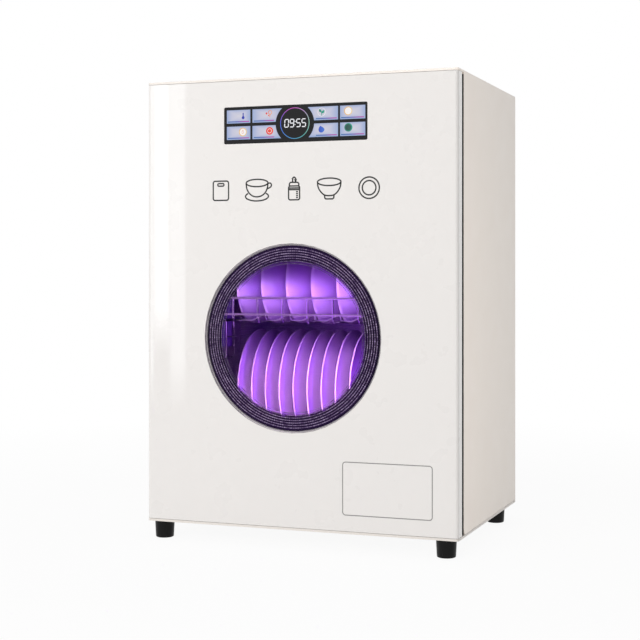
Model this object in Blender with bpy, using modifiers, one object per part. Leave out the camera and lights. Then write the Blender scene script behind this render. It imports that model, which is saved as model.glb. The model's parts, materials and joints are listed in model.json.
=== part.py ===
"""A countertop dish sterilizer cabinet, in metres with +Z up and its front facing -Y.

One door with a round window and a touch display closes a lined cavity. Two wire racks hold bowls and plates on
edge, an ultraviolet lamp stands at the left wall, and a fan blows through a heater behind the cavity.

The origin is on the floor under the middle of the cabinet. Places below are measured on the case: x from its
middle, y back from the door's front face, and z up from the case's bottom face.
"""

import math
from collections import namedtuple

import bmesh
import bpy
from mathutils import Vector

# Fits
FACE_GAP = 0.0003
RUNNING_GAP = 0.0001
OVERRUN = 0.002

# Case
CASE_WIDTH = 0.360
CASE_DEPTH = 0.268
CASE_HEIGHT = 0.492
SHEET = 0.0012
LIP_THICKNESS = 0.0025
EDGE_RADIUS = 0.0038
SHELL_EDGE_RADIUS = 0.0012
FLANGE_WIDTH = 0.007
RELIEF_DEPTH = 0.004
RELIEF_HEIGHT = 0.0064
REAR_INSET = 0.005
HALF_WIDTH = CASE_WIDTH / 2

# Door in the bay between the two lips
DOOR_THICKNESS = 0.0165
DOOR_GAP = 0.006
DOOR_END_GAP = 0.0004
DOOR_WALL = 0.0022
DOOR_FRONT_WALL = 0.0025
DOOR_REAR_RADIUS = 0.0015
DOOR_TOP_RADIUS = 0.0008
BACK_PANEL_THICKNESS = 0.0022
DOOR_BOTTOM_Z = LIP_THICKNESS + DOOR_END_GAP
DOOR_TOP_Z = CASE_HEIGHT - LIP_THICKNESS - DOOR_END_GAP
SIDE_FRONT_Y = DOOR_THICKNESS + DOOR_GAP
SIDE_BOTTOM_Z = LIP_THICKNESS + FACE_GAP
LIP_UNDER_Z = CASE_HEIGHT - LIP_THICKNESS

# Hinge, upright near the door's left edge
HINGE_X = -HALF_WIDTH + DOOR_THICKNESS / 2
HINGE_Y = DOOR_THICKNESS / 2
PIN_RADIUS = 0.0025
PIN_HEAD_RADIUS = 0.0045
PIN_HEAD_HEIGHT = 0.0012
PIN_ENGAGEMENT = 0.011
PIN_CHAMFER = 0.0005
BUSH_LENGTH = 0.013
BUSH_WALL = 0.0015

# Feet
FOOT_HEIGHT = 0.0187
FOOT_RADIUS = 0.011
FOOT_TAPER_SHARE = 0.92
FOOT_EDGE_RADIUS = 0.0014
FOOT_SIDE_INSET = 0.0159
FOOT_FRONT_INSET = 0.0116
FOOT_REAR_INSET = 0.0363
CASE_BOTTOM = FOOT_HEIGHT + FACE_GAP

# Window and display in the door
WINDOW_X = -0.0066
WINDOW_Z = 0.2077
WINDOW_RADIUS = 0.1025
PANE_THICKNESS = 0.003
PANE_CHAMFER = 0.0004
SEAL_INNER_RADIUS = 0.0905
SEAL_OUTER_RADIUS = 0.106
INNER_PANE_RADIUS = 0.0965
INNER_PANE_THICKNESS = 0.002
DISPLAY_X = -0.0025
DISPLAY_DROP = 0.0517
DISPLAY_Z = CASE_HEIGHT - DISPLAY_DROP
DISPLAY_WIDTH = 0.166
DISPLAY_HEIGHT = 0.040
DISPLAY_GLASS_THICKNESS = 0.0022
DISPLAY_CORNER_RADIUS = 0.0015
MODULE_BORDER = 0.003
MODULE_THICKNESS = 0.0065

# Gasket on the door's rear face
GASKET_WIDTH = 0.0064
GASKET_SIDE_INSET = 0.0078
GASKET_END_INSET = 0.0062
GASKET_RADIUS = 0.009
GASKET_EDGE_RADIUS = 0.0012

# Front frame and cavity liner
FRAME_THICKNESS = 0.004
SIDE_SPACE = 0.015
REAR_SPACE = 0.042
SERVICE_SPACE = 0.052
CAVITY_FLOOR_Z = 0.020
MOUTH_RADIUS = 0.012
LINER_SHEET = 0.001
LINER_FLANGE = 0.008
FRAME_FRONT_Y = SIDE_FRONT_Y + SHEET + FACE_GAP
LINER_FRONT_Y = FRAME_FRONT_Y + FRAME_THICKNESS + FACE_GAP
CAVITY_BACK_Y = CASE_DEPTH - REAR_SPACE
CAVITY_TOP_Z = CASE_HEIGHT - SERVICE_SPACE
CAVITY_WALL_X = HALF_WIDTH - SIDE_SPACE

# Base plate
BASE_FLANGE_HEIGHT = 0.012
BASE_FLANGE_FRONT_Y = 0.040
RIB_END_INSET = 0.035
RIB_LENGTH = CASE_WIDTH - 2 * RIB_END_INSET
RIB_WIDTH = 0.022
RIB_FRONT_Y = 0.060
RIB_REAR_INSET = 0.056
RIB_REAR_Y = CASE_DEPTH - RIB_REAR_INSET - RIB_WIDTH

# Vent slots
SLOT_HEIGHT = 0.004
SLOT_PITCH = 0.008
FAN_SLOT_WIDTH = 0.064
FAN_SLOTS = 9
TOP_SLOT_WIDTH = 0.090
TOP_SLOTS = 4
TOP_SLOT_X = 0.060
TOP_SLOT_DROP = 0.037
BASE_SLOT_WIDTH = 0.110
BASE_SLOTS = 5
BASE_SLOT_Y = (RIB_FRONT_Y + RIB_WIDTH + RIB_REAR_Y) / 2

# Cord gland in the rear panel
GLAND_SIDE_INSET = 0.050
GLAND_X = HALF_WIDTH - GLAND_SIDE_INSET
GLAND_Z = 0.045
GLAND_BORE_RADIUS = 0.0035
GLAND_NECK_RADIUS = 0.0057
GLAND_FLANGE_RADIUS = 0.009
GLAND_FLANGE_HEIGHT = 0.003

# Racks and their dishes
RACK_SIDE_GAP = 0.022
RACK_FRONT_GAP = 0.0325
RACK_REAR_GAP = 0.036
RACK_HALF_WIDTH = CAVITY_WALL_X - RACK_SIDE_GAP
RACK_FRONT_Y = FRAME_FRONT_Y + RACK_FRONT_GAP
RACK_REAR_Y = CAVITY_BACK_Y - RACK_REAR_GAP
FIRST_RIM_INSET = 0.0464
FIRST_RIM_X = FIRST_RIM_INSET - RACK_HALF_WIDTH
PLATE_FRONT_SPACE = 0.0035
PLATE_Y = (RACK_FRONT_Y + PLATE_FRONT_SPACE + RACK_REAR_Y) / 2
BOWL_FRONT_SPACE = 0.0485
BOWL_Y = RACK_FRONT_Y + BOWL_FRONT_SPACE
DISH_STEPS = 18
BOWL_RADIUS = 0.0479
BOWL_BODY = 0.038
BOWL_FOOT_RADIUS = 0.020
BOWL_FOOT_HEIGHT = 0.004
BOWL_WALL = 0.0026
BOWL_PITCH = 0.0303
BOWL_COUNT = 5
PLATE_RADIUS = 0.065
PLATE_BODY = 0.0135
PLATE_FOOT_RADIUS = 0.037
PLATE_WALL = 0.0024
PLATE_PITCH = 0.0169
PLATE_COUNT = 9
UPPER_RACK_Z = 0.22415
LOWER_RACK_Z = 0.08500
RACK_WIRE_RADIUS = 0.00125
RACK_RAIL_LOW = 0.007
RACK_RAIL_HIGH = 0.0255
RACK_BEND = 0.005
RIGHT_LOOPS = 2
WIRE_SINK_SHARE = 0.7
DISH_CLEARANCE = 0.0006
VALLEY_LEAD = 0.0024
BOWL_VALLEY = 0.010
BOWL_PEAK = 0.026
BOWL_ROW_SHARE = 0.496
PLATE_VALLEY = 0.0024
PLATE_PEAK = 0.0086
PLATE_ROW_SHARE = 24 / 65

# Rack rails on the cavity walls
RAIL_LEG = 0.014
RAIL_LEDGE = 0.0275
RAIL_FRONT_GAP = 0.022
RAIL_REAR_GAP = 0.010
RAIL_FRONT_Y = FRAME_FRONT_Y + RAIL_FRONT_GAP
RAIL_REAR_Y = CAVITY_BACK_Y - RAIL_REAR_GAP

# Lamp at the left wall
LAMP_REAR_GAP = 0.063
LAMP_Y = CAVITY_BACK_Y - LAMP_REAR_GAP
LAMP_WALL_OFFSET = 0.0092
LAMP_RADIUS = 0.006
LAMP_BOTTOM_Z = 0.182
LAMP_TOP_GAP = 0.058
LAMP_LENGTH = CAVITY_TOP_Z - LAMP_TOP_GAP - LAMP_BOTTOM_Z
LAMP_END_RADIUS = 0.003
HOLDER_WIDTH = 0.0155
HOLDER_DEPTH = 0.016
HOLDER_HEIGHT = 0.012
HOLDER_GRIP = 0.006
HOLDER_EDGE_RADIUS = 0.002
GUARD_WIRE_RADIUS = 0.0009
GUARD_BOTTOM_Z = 0.173
GUARD_REACH = 0.0135
GUARD_SPREAD = 0.0112
GUARD_BOW = 0.0055
GUARD_BEND = 0.004
GUARD_HOOPS = 4

# Fan and heater behind the cavity
FAN_Z = 0.120
FAN_SIZE = 0.092
FAN_DEPTH = 0.020
FAN_CORNER_RADIUS = 0.005
FAN_BORE_RADIUS = 0.043
FAN_TIP_GAP = 0.0015
FAN_HUB_RADIUS = 0.016
FAN_HUB_HEIGHT = 0.011
FAN_BLADES = 7
FAN_BLADE_THICKNESS = 0.0012
FAN_BLADE_ROOT_ANGLE = math.radians(38)
FAN_BLADE_TIP_ANGLE = math.radians(22)
FAN_BLADE_ROOT_CHORD = 0.013
FAN_BLADE_TIP_CHORD = 0.021
FAN_BLADE_CAMBER = 0.0016
FAN_BOSS_RADIUS = 0.014
FAN_BOSS_HEIGHT = 0.005
FAN_SHAFT_RADIUS = 0.002
FAN_SHAFT_LENGTH = 0.007
FAN_STRUT_WIDTH = 0.004
FAN_HOLE_RADIUS = 0.0022
FAN_HOLE_INSET = 0.0055
HEATER_SIZE = 0.084
HEATER_DEPTH = 0.012
HEATER_FINS = 8
HEATER_BORDER = 0.006
HEATER_FIN_THICKNESS = 0.0016

# Electric pieces above the cavity
BOARD_WIDTH = 0.150
BOARD_DEPTH = 0.090
BOARD_THICKNESS = 0.0016
SERVICE_SIDE_GAP = 0.012
SERVICE_Y = (LINER_FRONT_Y + CAVITY_BACK_Y) / 2
BOARD_X = HALF_WIDTH - SERVICE_SIDE_GAP - BOARD_WIDTH / 2
BOARD_LEG = 0.006
BOARD_LEG_SIZE = 0.007
TRANSFORMER_SIZE = 0.028
RELAY_SIZE = 0.016
SOCKET_WIDTH = 0.040
SOCKET_DEPTH = 0.008
SOCKET_HEIGHT = 0.010
BALLAST_WIDTH = 0.086
BALLAST_DEPTH = 0.042
BALLAST_HEIGHT = 0.026
BALLAST_EAR = 0.012
BALLAST_X = SERVICE_SIDE_GAP + BALLAST_EAR + BALLAST_WIDTH / 2 - HALF_WIDTH
BALLAST_EAR_THICKNESS = 0.002
BALLAST_EDGE_RADIUS = 0.003

# Catch and door sensor on the front frame
CATCH_SIDE_INSET = 0.040
CATCH_RISE = 0.021
CATCH_X = HALF_WIDTH - CATCH_SIDE_INSET
CATCH_Z = CAVITY_TOP_Z + CATCH_RISE
CATCH_WIDTH = 0.026
CATCH_HEIGHT = 0.012
STRIKE_THICKNESS = 0.001
STRIKE_BORDER = 0.002
SENSOR_SIDE_INSET = 0.090
SENSOR_X = HALF_WIDTH - SENSOR_SIDE_INSET
SENSOR_WIDTH = 0.016
SENSOR_HEIGHT = 0.007
SENSOR_DEPTH = 0.0034
CATCH_EDGE_RADIUS = 0.001

# Drip tray on the cavity floor
TRAY_SIDE_GAP = 0.015
TRAY_FRONT_GAP = 0.010
TRAY_REAR_GAP = 0.014
TRAY_FRONT_Y = FRAME_FRONT_Y + TRAY_FRONT_GAP
TRAY_REAR_Y = CAVITY_BACK_Y - TRAY_REAR_GAP
TRAY_HEIGHT = 0.012
TRAY_WALL = 0.001
TRAY_RIM = 0.004
TRAY_RADIUS = 0.010

# Facets of round forms
EDGE_SEGMENTS = 5
CORNER_SEGMENTS = 4
SMALL_SEGMENTS = 2
WINDOW_STEPS = 48
SEAL_STEPS = 36
FOOT_STEPS = 24
PIN_STEPS = 16
HOLE_STEPS = 10
WIRE_RESOLUTION = 1

# Blender's axes as a letter and its index
AXES = {"X": 0, "Y": 1, "Z": 2}

# Colour, roughness, metallic value and transmission of each finish
Look = namedtuple("Look", "colour roughness metallic transmission")
WHITE_PAINT = Look((0.83, 0.80, 0.76), 0.35, 0, 0)
WHITE_GLOSS = Look((0.86, 0.84, 0.82), 0.12, 0, 0)
GREY_PLASTIC = Look((0.30, 0.29, 0.28), 0.5, 0, 0)
BLACK_PLASTIC = Look((0.015, 0.015, 0.016), 0.35, 0, 0)
BLACK_RUBBER = Look((0.012, 0.012, 0.012), 0.4, 0, 0)
GREY_RUBBER = Look((0.13, 0.12, 0.11), 0.6, 0, 0)
STEEL = Look((0.62, 0.62, 0.64), 0.25, 1, 0)
ZINC = Look((0.55, 0.56, 0.58), 0.4, 1, 0)
WIRE_STEEL = Look((0.75, 0.75, 0.78), 0.15, 1, 0)
CLEAR_GLASS = Look((0.9, 0.9, 0.95), 0.02, 0, 0.9)
BLACK_GLASS = Look((0.01, 0.01, 0.012), 0.05, 0, 0)
LAMP_GLASS = Look((0.60, 0.40, 0.95), 0.1, 0, 0.6)
GLAZE = Look((0.88, 0.88, 0.90), 0.12, 0, 0)
BOARD_GREEN = Look((0.03, 0.20, 0.09), 0.5, 0, 0)
BRONZE = Look((0.55, 0.38, 0.18), 0.35, 1, 0)

# Each dish's wall runs from its rim to its foot along a curve with two powers, bend and flare
Dish = namedtuple("Dish", "radius body foot_radius foot_height wall bend flare points")
BOWL = Dish(
    radius=BOWL_RADIUS,
    body=BOWL_BODY,
    foot_radius=BOWL_FOOT_RADIUS,
    foot_height=BOWL_FOOT_HEIGHT,
    wall=BOWL_WALL,
    bend=2,
    flare=2,
    points=3,
)
PLATE = Dish(
    radius=PLATE_RADIUS,
    body=PLATE_BODY,
    foot_radius=PLATE_FOOT_RADIUS,
    foot_height=0,
    wall=PLATE_WALL,
    bend=1,
    flare=1.5,
    points=3,
)

# Each rack's dishes and the wires that hold them
Row = namedtuple("Row", "dish y rack_z offset pitch count valley peak loop_stride")
BOWL_ROW = Row(
    dish=BOWL,
    y=BOWL_Y,
    rack_z=UPPER_RACK_Z,
    offset=BOWL_RADIUS * BOWL_ROW_SHARE,
    pitch=BOWL_PITCH,
    count=BOWL_COUNT,
    valley=BOWL_VALLEY,
    peak=BOWL_PEAK,
    loop_stride=1,
)
PLATE_ROW = Row(
    dish=PLATE,
    y=PLATE_Y,
    rack_z=LOWER_RACK_Z,
    offset=PLATE_RADIUS * PLATE_ROW_SHARE,
    pitch=PLATE_PITCH,
    count=PLATE_COUNT,
    valley=PLATE_VALLEY,
    peak=PLATE_PEAK,
    loop_stride=2,
)

pivots = {}


def clear_scene():
    for obj in list(bpy.data.objects):
        bpy.data.objects.remove(obj)


def new_collection(name):
    collection = bpy.data.collections.new(name)
    bpy.context.scene.collection.children.link(collection)
    return collection


clear_scene()
PARTS = new_collection("dish_sterilizer_cabinet")
CUTTERS = new_collection("cutters")


def add_pivot(name, place, parent=None):
    """An empty on a body's joint axis. Every piece of that body is parented to it."""
    empty = bpy.data.objects.new(name, None)
    PARTS.objects.link(empty)
    place = Vector(place)
    if parent:
        empty.parent = pivots[parent][0]
        empty.location = place - pivots[parent][1]
        pivots[name] = (empty, place)
    else:
        empty.location = place
        pivots[name] = (empty, Vector())


def own_material(obj, look):
    material = bpy.data.materials.new(obj.name)
    material.use_nodes = True
    shader = material.node_tree.nodes["Principled BSDF"]
    shader.inputs["Base Color"].default_value = (*look.colour, 1)
    shader.inputs["Roughness"].default_value = look.roughness
    shader.inputs["Metallic"].default_value = look.metallic
    shader.inputs["Transmission Weight"].default_value = look.transmission
    obj.data.materials.append(material)


def hang(obj, pivot, place):
    """Parents an object to a pivot, with its own origin at a place on the case."""
    empty, pivot_place = pivots[pivot]
    obj.parent = empty
    obj.location = Vector(place) - pivot_place


def as_piece(obj, name, pivot, look):
    obj.name = name
    PARTS.objects.link(obj)
    hang(obj, pivot, obj["place"])
    own_material(obj, look)
    return obj


def as_cutter(obj, pivot="case", collection=CUTTERS):
    collection.objects.link(obj)
    hang(obj, pivot, obj["place"])
    obj.hide_render = True
    obj.display_type = "WIRE"
    return obj


def shape_object(mesh, place):
    obj = bpy.data.objects.new(mesh.name, mesh)
    obj["place"] = tuple(place)
    return obj


def round_edges(bm, axis, signs, radius, segments):
    """Rounds the box edges that run along an axis and lie on the sides that the signs give."""
    index = AXES[axis]
    chosen = []
    for edge in bm.edges:
        start, end = (vert.co for vert in edge.verts)
        along = (end - start).normalized()
        middle = (start + end) / 2
        on_side = all(sign * middle[i] >= 0 for i, sign in enumerate(signs))
        if abs(along[index]) > 1 - 1e-6 and on_side:
            chosen.append(edge)
    bmesh.ops.bevel(bm, geom=chosen, offset=radius, segments=segments, profile=0.5, affect="EDGES")


def box(low, high, rounds=()):
    """A box between two corners. Each round is (axis, signs, radius, segments)."""
    low = Vector(low)
    high = Vector(high)
    bm = bmesh.new()
    bmesh.ops.create_cube(bm, size=1)
    bmesh.ops.scale(bm, vec=high - low, verts=bm.verts)
    for axis, signs, radius, segments in rounds:
        round_edges(bm, axis, signs, radius, segments)
    mesh = bpy.data.meshes.new("box")
    bm.to_mesh(mesh)
    bm.free()
    mesh.shade_smooth()
    mesh.set_sharp_from_angle(angle=math.radians(30))
    return shape_object(mesh, (low + high) / 2)


def many_boxes(size, centres):
    """One mesh of equal boxes, for a pattern of slots."""
    bm = bmesh.new()
    first = Vector(centres[0])
    for centre in centres:
        made = bmesh.ops.create_cube(bm, size=1)["verts"]
        bmesh.ops.scale(bm, vec=Vector(size), verts=made)
        bmesh.ops.translate(bm, vec=Vector(centre) - first, verts=made)
    mesh = bpy.data.meshes.new("slots")
    bm.to_mesh(mesh)
    bm.free()
    return shape_object(mesh, first)


def turn_to(obj, axis):
    """Points a turned shape's own Z along a case axis."""
    turns = {"X": (0, math.pi / 2, 0), "Y": (-math.pi / 2, 0, 0), "Z": (0, 0, 0)}
    obj.rotation_euler = turns[axis]
    return obj


def cylinder(radius, length, place, axis, steps):
    """A cylinder whose middle is at the place."""
    bm = bmesh.new()
    bmesh.ops.create_cone(
        bm, cap_ends=True, radius1=radius, radius2=radius, depth=length, segments=steps
    )
    mesh = bpy.data.meshes.new("cylinder")
    bm.to_mesh(mesh)
    bm.free()
    return turn_to(shape_object(mesh, place), axis)


def turned(outline, place, axis, steps, ring=False):
    """Turns an outline of (radius, height) pairs, which runs down its outer side, about an axis."""
    mesh = bpy.data.meshes.new("turned")
    bm = bmesh.new()
    verts = [bm.verts.new((radius, 0, height)) for radius, height in outline]
    for start, end in zip(verts, verts[1:]):
        bm.edges.new((start, end))
    if ring:
        bm.edges.new((verts[-1], verts[0]))
    bm.to_mesh(mesh)
    bm.free()
    obj = turn_to(shape_object(mesh, place), axis)
    screw = obj.modifiers.new("Turn", "SCREW")
    screw.axis = "Z"
    screw.steps = steps
    screw.render_steps = steps
    screw.use_merge_vertices = True
    screw.merge_threshold = 0.00001
    screw.use_smooth_shade = True
    return obj


def wire(points, radius, resolution=WIRE_RESOLUTION):
    """A round wire through points on the case, as a mesh with closed ends."""
    curve = bpy.data.curves.new("wire", "CURVE")
    curve.dimensions = "3D"
    curve.bevel_depth = radius
    curve.bevel_resolution = resolution
    curve.use_fill_caps = True
    spline = curve.splines.new("POLY")
    spline.points.add(len(points) - 1)
    first = Vector(points[0])
    for control, point in zip(spline.points, points):
        control.co = (*(Vector(point) - first), 1)
    rod = bpy.data.objects.new("wire", curve)
    CUTTERS.objects.link(rod)
    graph = bpy.context.evaluated_depsgraph_get()
    mesh = bpy.data.meshes.new_from_object(rod.evaluated_get(graph))
    bpy.data.objects.remove(rod)
    bm = bmesh.new()
    bm.from_mesh(mesh)
    bmesh.ops.remove_doubles(bm, verts=bm.verts, dist=0.00001)
    bmesh.ops.recalc_face_normals(bm, faces=bm.faces)
    bm.to_mesh(mesh)
    bm.free()
    mesh.shade_smooth()
    mesh.set_sharp_from_angle(angle=math.radians(50))
    return shape_object(mesh, first)


def cut(obj, cutter, pivot="case"):
    modifier = obj.modifiers.new("Cut", "BOOLEAN")
    modifier.operation = "DIFFERENCE"
    modifier.solver = "EXACT"
    modifier.object = as_cutter(cutter, pivot)


def unite(obj, others, pivot="case"):
    """Joins the other shapes to an object in one Boolean union."""
    joined = bpy.data.collections.new(obj.name + "_joined")
    CUTTERS.children.link(joined)
    for other in others:
        as_cutter(other, pivot, joined)
    modifier = obj.modifiers.new("Unite", "BOOLEAN")
    modifier.operation = "UNION"
    modifier.solver = "EXACT"
    modifier.operand_type = "COLLECTION"
    modifier.collection = joined


def slot_rows(middle, pitch, count, step):
    """Centres of a row of slots, spaced along the step vector about a middle point."""
    return [Vector(middle) + Vector(step) * pitch * (i - (count - 1) / 2) for i in range(count)]


def make_pivots():
    add_pivot("case", (0, -CASE_DEPTH / 2, CASE_BOTTOM))
    add_pivot("door_pivot", (HINGE_X, HINGE_Y, 0), "case")
    add_pivot("upper_rack_slide", (0, RACK_FRONT_Y, UPPER_RACK_Z), "case")
    add_pivot("lower_rack_slide", (0, RACK_FRONT_Y, LOWER_RACK_Z), "case")
    add_pivot("drip_tray_slide", (0, TRAY_FRONT_Y, CAVITY_FLOOR_Z), "case")
    add_pivot("fan_axis", (0, fan_front_y(), FAN_Z), "case")


def pin_hole_cutters(outer_z, inward):
    """The hinge pin's hole through a lip, with the counterbore for its head."""
    hole = cylinder(
        PIN_RADIUS + RUNNING_GAP,
        2 * (LIP_THICKNESS + OVERRUN),
        (HINGE_X, HINGE_Y, outer_z),
        "Z",
        PIN_STEPS,
    )
    depth = PIN_HEAD_HEIGHT + FACE_GAP
    seat = cylinder(
        PIN_HEAD_RADIUS + FACE_GAP,
        depth + OVERRUN,
        (HINGE_X, HINGE_Y, outer_z + inward * (depth - OVERRUN) / 2),
        "Z",
        PIN_STEPS,
    )
    return hole, seat


def relief_cutter():
    """A long three-sided bar that takes the lower front corner off both sides of the shell."""
    outline = [
        (-RELIEF_DEPTH, 2 * RELIEF_HEIGHT),
        (2 * RELIEF_DEPTH, -RELIEF_HEIGHT),
        (-RELIEF_DEPTH, -RELIEF_HEIGHT),
    ]
    length = CASE_WIDTH + 2 * OVERRUN
    bm = bmesh.new()
    face = bm.faces.new([bm.verts.new((-length / 2, y, z)) for y, z in outline])
    made = bmesh.ops.extrude_face_region(bm, geom=[face])["geom"]
    moved = [item for item in made if isinstance(item, bmesh.types.BMVert)]
    bmesh.ops.translate(bm, vec=(length, 0, 0), verts=moved)
    bmesh.ops.recalc_face_normals(bm, faces=bm.faces)
    mesh = bpy.data.meshes.new("relief")
    bm.to_mesh(mesh)
    bm.free()
    return shape_object(mesh, (0, SIDE_FRONT_Y, SIDE_BOTTOM_Z))


def make_outer_shell():
    """Top and sides in one sheet. The top reaches forward as the lip over the door."""
    rounds = [
        ("Z", (0, -1, 0), EDGE_RADIUS, EDGE_SEGMENTS),
        ("Y", (0, 0, 1), SHELL_EDGE_RADIUS, SMALL_SEGMENTS),
    ]
    shell = box((-HALF_WIDTH, 0, SIDE_BOTTOM_Z), (HALF_WIDTH, CASE_DEPTH, CASE_HEIGHT), rounds)
    as_piece(shell, "outer_shell", "case", WHITE_PAINT)
    below = SIDE_BOTTOM_Z - OVERRUN
    door_bay = box(
        (-HALF_WIDTH - OVERRUN, -OVERRUN, below), (HALF_WIDTH + OVERRUN, SIDE_FRONT_Y, LIP_UNDER_Z)
    )
    flange_x = HALF_WIDTH - FLANGE_WIDTH
    mouth = box(
        (-flange_x, SIDE_FRONT_Y - OVERRUN, below), (flange_x, SIDE_FRONT_Y + SHEET + OVERRUN, LIP_UNDER_Z)
    )
    inner_x = HALF_WIDTH - SHEET
    hollow = box(
        (-inner_x, SIDE_FRONT_Y + SHEET, below), (inner_x, CASE_DEPTH + OVERRUN, CASE_HEIGHT - SHEET)
    )
    cutters = [door_bay, mouth, hollow, relief_cutter(), *pin_hole_cutters(CASE_HEIGHT, -1)]
    for cutter in cutters:
        cut(shell, cutter)


def rear_panel_front_y():
    return CASE_DEPTH - REAR_INSET - SHEET


def make_base_plate():
    """Floor of the case: the lip under the door, upturned flanges and two hat ribs under the liner."""
    plate = box(
        (-HALF_WIDTH, 0, 0),
        (HALF_WIDTH, CASE_DEPTH, LIP_THICKNESS),
        [("Z", (0, -1, 0), EDGE_RADIUS, EDGE_SEGMENTS)],
    )
    as_piece(plate, "base_plate", "case", WHITE_PAINT)
    outer_x = HALF_WIDTH - SHEET - FACE_GAP
    root_z = LIP_THICKNESS - SHEET
    back_y = rear_panel_front_y() - FACE_GAP
    flanges = [
        box((-outer_x, BASE_FLANGE_FRONT_Y, root_z), (SHEET - outer_x, back_y, BASE_FLANGE_HEIGHT)),
        box((outer_x - SHEET, BASE_FLANGE_FRONT_Y, root_z), (outer_x, back_y, BASE_FLANGE_HEIGHT)),
    ]
    rib_top = CAVITY_FLOOR_Z - LINER_SHEET - FACE_GAP
    ribs = [
        box((-RIB_LENGTH / 2, y, root_z), (RIB_LENGTH / 2, y + RIB_WIDTH, rib_top))
        for y in (RIB_FRONT_Y, RIB_REAR_Y)
    ]
    unite(plate, flanges + ribs)
    for y in (RIB_FRONT_Y, RIB_REAR_Y):
        tunnel = box(
            (-RIB_LENGTH / 2 - OVERRUN, y + SHEET, LIP_THICKNESS),
            (RIB_LENGTH / 2 + OVERRUN, y + RIB_WIDTH - SHEET, rib_top - SHEET),
        )
        cut(plate, tunnel)
    size = (BASE_SLOT_WIDTH, SLOT_HEIGHT, 2 * (LIP_THICKNESS + OVERRUN))
    cut(plate, many_boxes(size, slot_rows((0, BASE_SLOT_Y, 0), SLOT_PITCH, BASE_SLOTS, (0, 1, 0))))
    for cutter in pin_hole_cutters(0, 1):
        cut(plate, cutter)


def make_rear_panel():
    front_y = rear_panel_front_y()
    edge_x = HALF_WIDTH - SHEET - FACE_GAP
    panel = box(
        (-edge_x, front_y, SIDE_BOTTOM_Z), (edge_x, front_y + SHEET, CASE_HEIGHT - SHEET - FACE_GAP)
    )
    as_piece(panel, "rear_panel", "case", ZINC)
    middle_y = front_y + SHEET / 2
    through = SHEET + 2 * OVERRUN
    fan_rows = slot_rows((0, middle_y, FAN_Z), SLOT_PITCH, FAN_SLOTS, (0, 0, 1))
    cut(panel, many_boxes((FAN_SLOT_WIDTH, through, SLOT_HEIGHT), fan_rows))
    for side in (-1, 1):
        middle = (side * TOP_SLOT_X, middle_y, CASE_HEIGHT - TOP_SLOT_DROP)
        top_rows = slot_rows(middle, SLOT_PITCH, TOP_SLOTS, (0, 0, 1))
        cut(panel, many_boxes((TOP_SLOT_WIDTH, through, SLOT_HEIGHT), top_rows))
    hole_radius = GLAND_NECK_RADIUS + FACE_GAP
    cut(panel, cylinder(hole_radius, through, (GLAND_X, middle_y, GLAND_Z), "Y", PIN_STEPS))


def make_cord_gland():
    """A bore through a neck with a flange on each side of the rear panel."""
    half = SHEET / 2 + FACE_GAP
    end = half + GLAND_FLANGE_HEIGHT
    outline = [
        (GLAND_BORE_RADIUS, end),
        (GLAND_FLANGE_RADIUS, end),
        (GLAND_FLANGE_RADIUS, half),
        (GLAND_NECK_RADIUS, half),
        (GLAND_NECK_RADIUS, -half),
        (GLAND_FLANGE_RADIUS, -half),
        (GLAND_FLANGE_RADIUS, -end),
        (GLAND_BORE_RADIUS, -end),
    ]
    place = (GLAND_X, rear_panel_front_y() + SHEET / 2, GLAND_Z)
    as_piece(turned(outline, place, "Y", PIN_STEPS, ring=True), "cord_gland", "case", BLACK_PLASTIC)


def make_front_frame():
    """The moulded ring round the cavity mouth, which the door's gasket meets."""
    edge_x = HALF_WIDTH - SHEET - FACE_GAP
    back_y = FRAME_FRONT_Y + FRAME_THICKNESS
    frame = box(
        (-edge_x, FRAME_FRONT_Y, SIDE_BOTTOM_Z), (edge_x, back_y, CASE_HEIGHT - SHEET - FACE_GAP)
    )
    as_piece(frame, "front_frame", "case", GREY_PLASTIC)
    mouth = box(
        (-CAVITY_WALL_X, FRAME_FRONT_Y - OVERRUN, CAVITY_FLOOR_Z),
        (CAVITY_WALL_X, back_y + OVERRUN, CAVITY_TOP_Z),
        [("Y", (0, 0, 0), MOUTH_RADIUS, CORNER_SEGMENTS)],
    )
    cut(frame, mouth)


def make_liner_shell():
    """The cavity's five walls in one deep-drawn sheet, with a flange behind the front frame."""
    wall_x = CAVITY_WALL_X + LINER_SHEET
    flange_x = wall_x + LINER_FLANGE
    low_z = CAVITY_FLOOR_Z - LINER_SHEET
    high_z = CAVITY_TOP_Z + LINER_SHEET
    back_y = CAVITY_BACK_Y + LINER_SHEET
    corner = MOUTH_RADIUS + LINER_SHEET
    flange = box(
        (-flange_x, LINER_FRONT_Y, low_z - LINER_FLANGE),
        (flange_x, LINER_FRONT_Y + LINER_SHEET, high_z + LINER_FLANGE),
        [("Y", (0, 0, 0), corner + LINER_FLANGE, CORNER_SEGMENTS)],
    )
    liner = as_piece(flange, "liner_shell", "case", STEEL)
    body = box(
        (-wall_x, LINER_FRONT_Y + LINER_SHEET / 2, low_z),
        (wall_x, back_y, high_z),
        [("Y", (0, 0, 0), corner, CORNER_SEGMENTS)],
    )
    unite(liner, [body])
    hollow = box(
        (-CAVITY_WALL_X, LINER_FRONT_Y - OVERRUN, CAVITY_FLOOR_Z),
        (CAVITY_WALL_X, CAVITY_BACK_Y, CAVITY_TOP_Z),
        [("Y", (0, 0, 0), MOUTH_RADIUS, CORNER_SEGMENTS)],
    )
    cut(liner, hollow)
    size = (FAN_SLOT_WIDTH, LINER_SHEET + 2 * OVERRUN, SLOT_HEIGHT)
    middle = (0, CAVITY_BACK_Y + LINER_SHEET / 2, FAN_Z)
    cut(liner, many_boxes(size, slot_rows(middle, SLOT_PITCH, FAN_SLOTS, (0, 0, 1))))


def rack_floor_z(row):
    """Height of the middle of the wires that run under a rack."""
    return row.rack_z - 2 * RACK_WIRE_RADIUS * WIRE_SINK_SHARE


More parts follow.
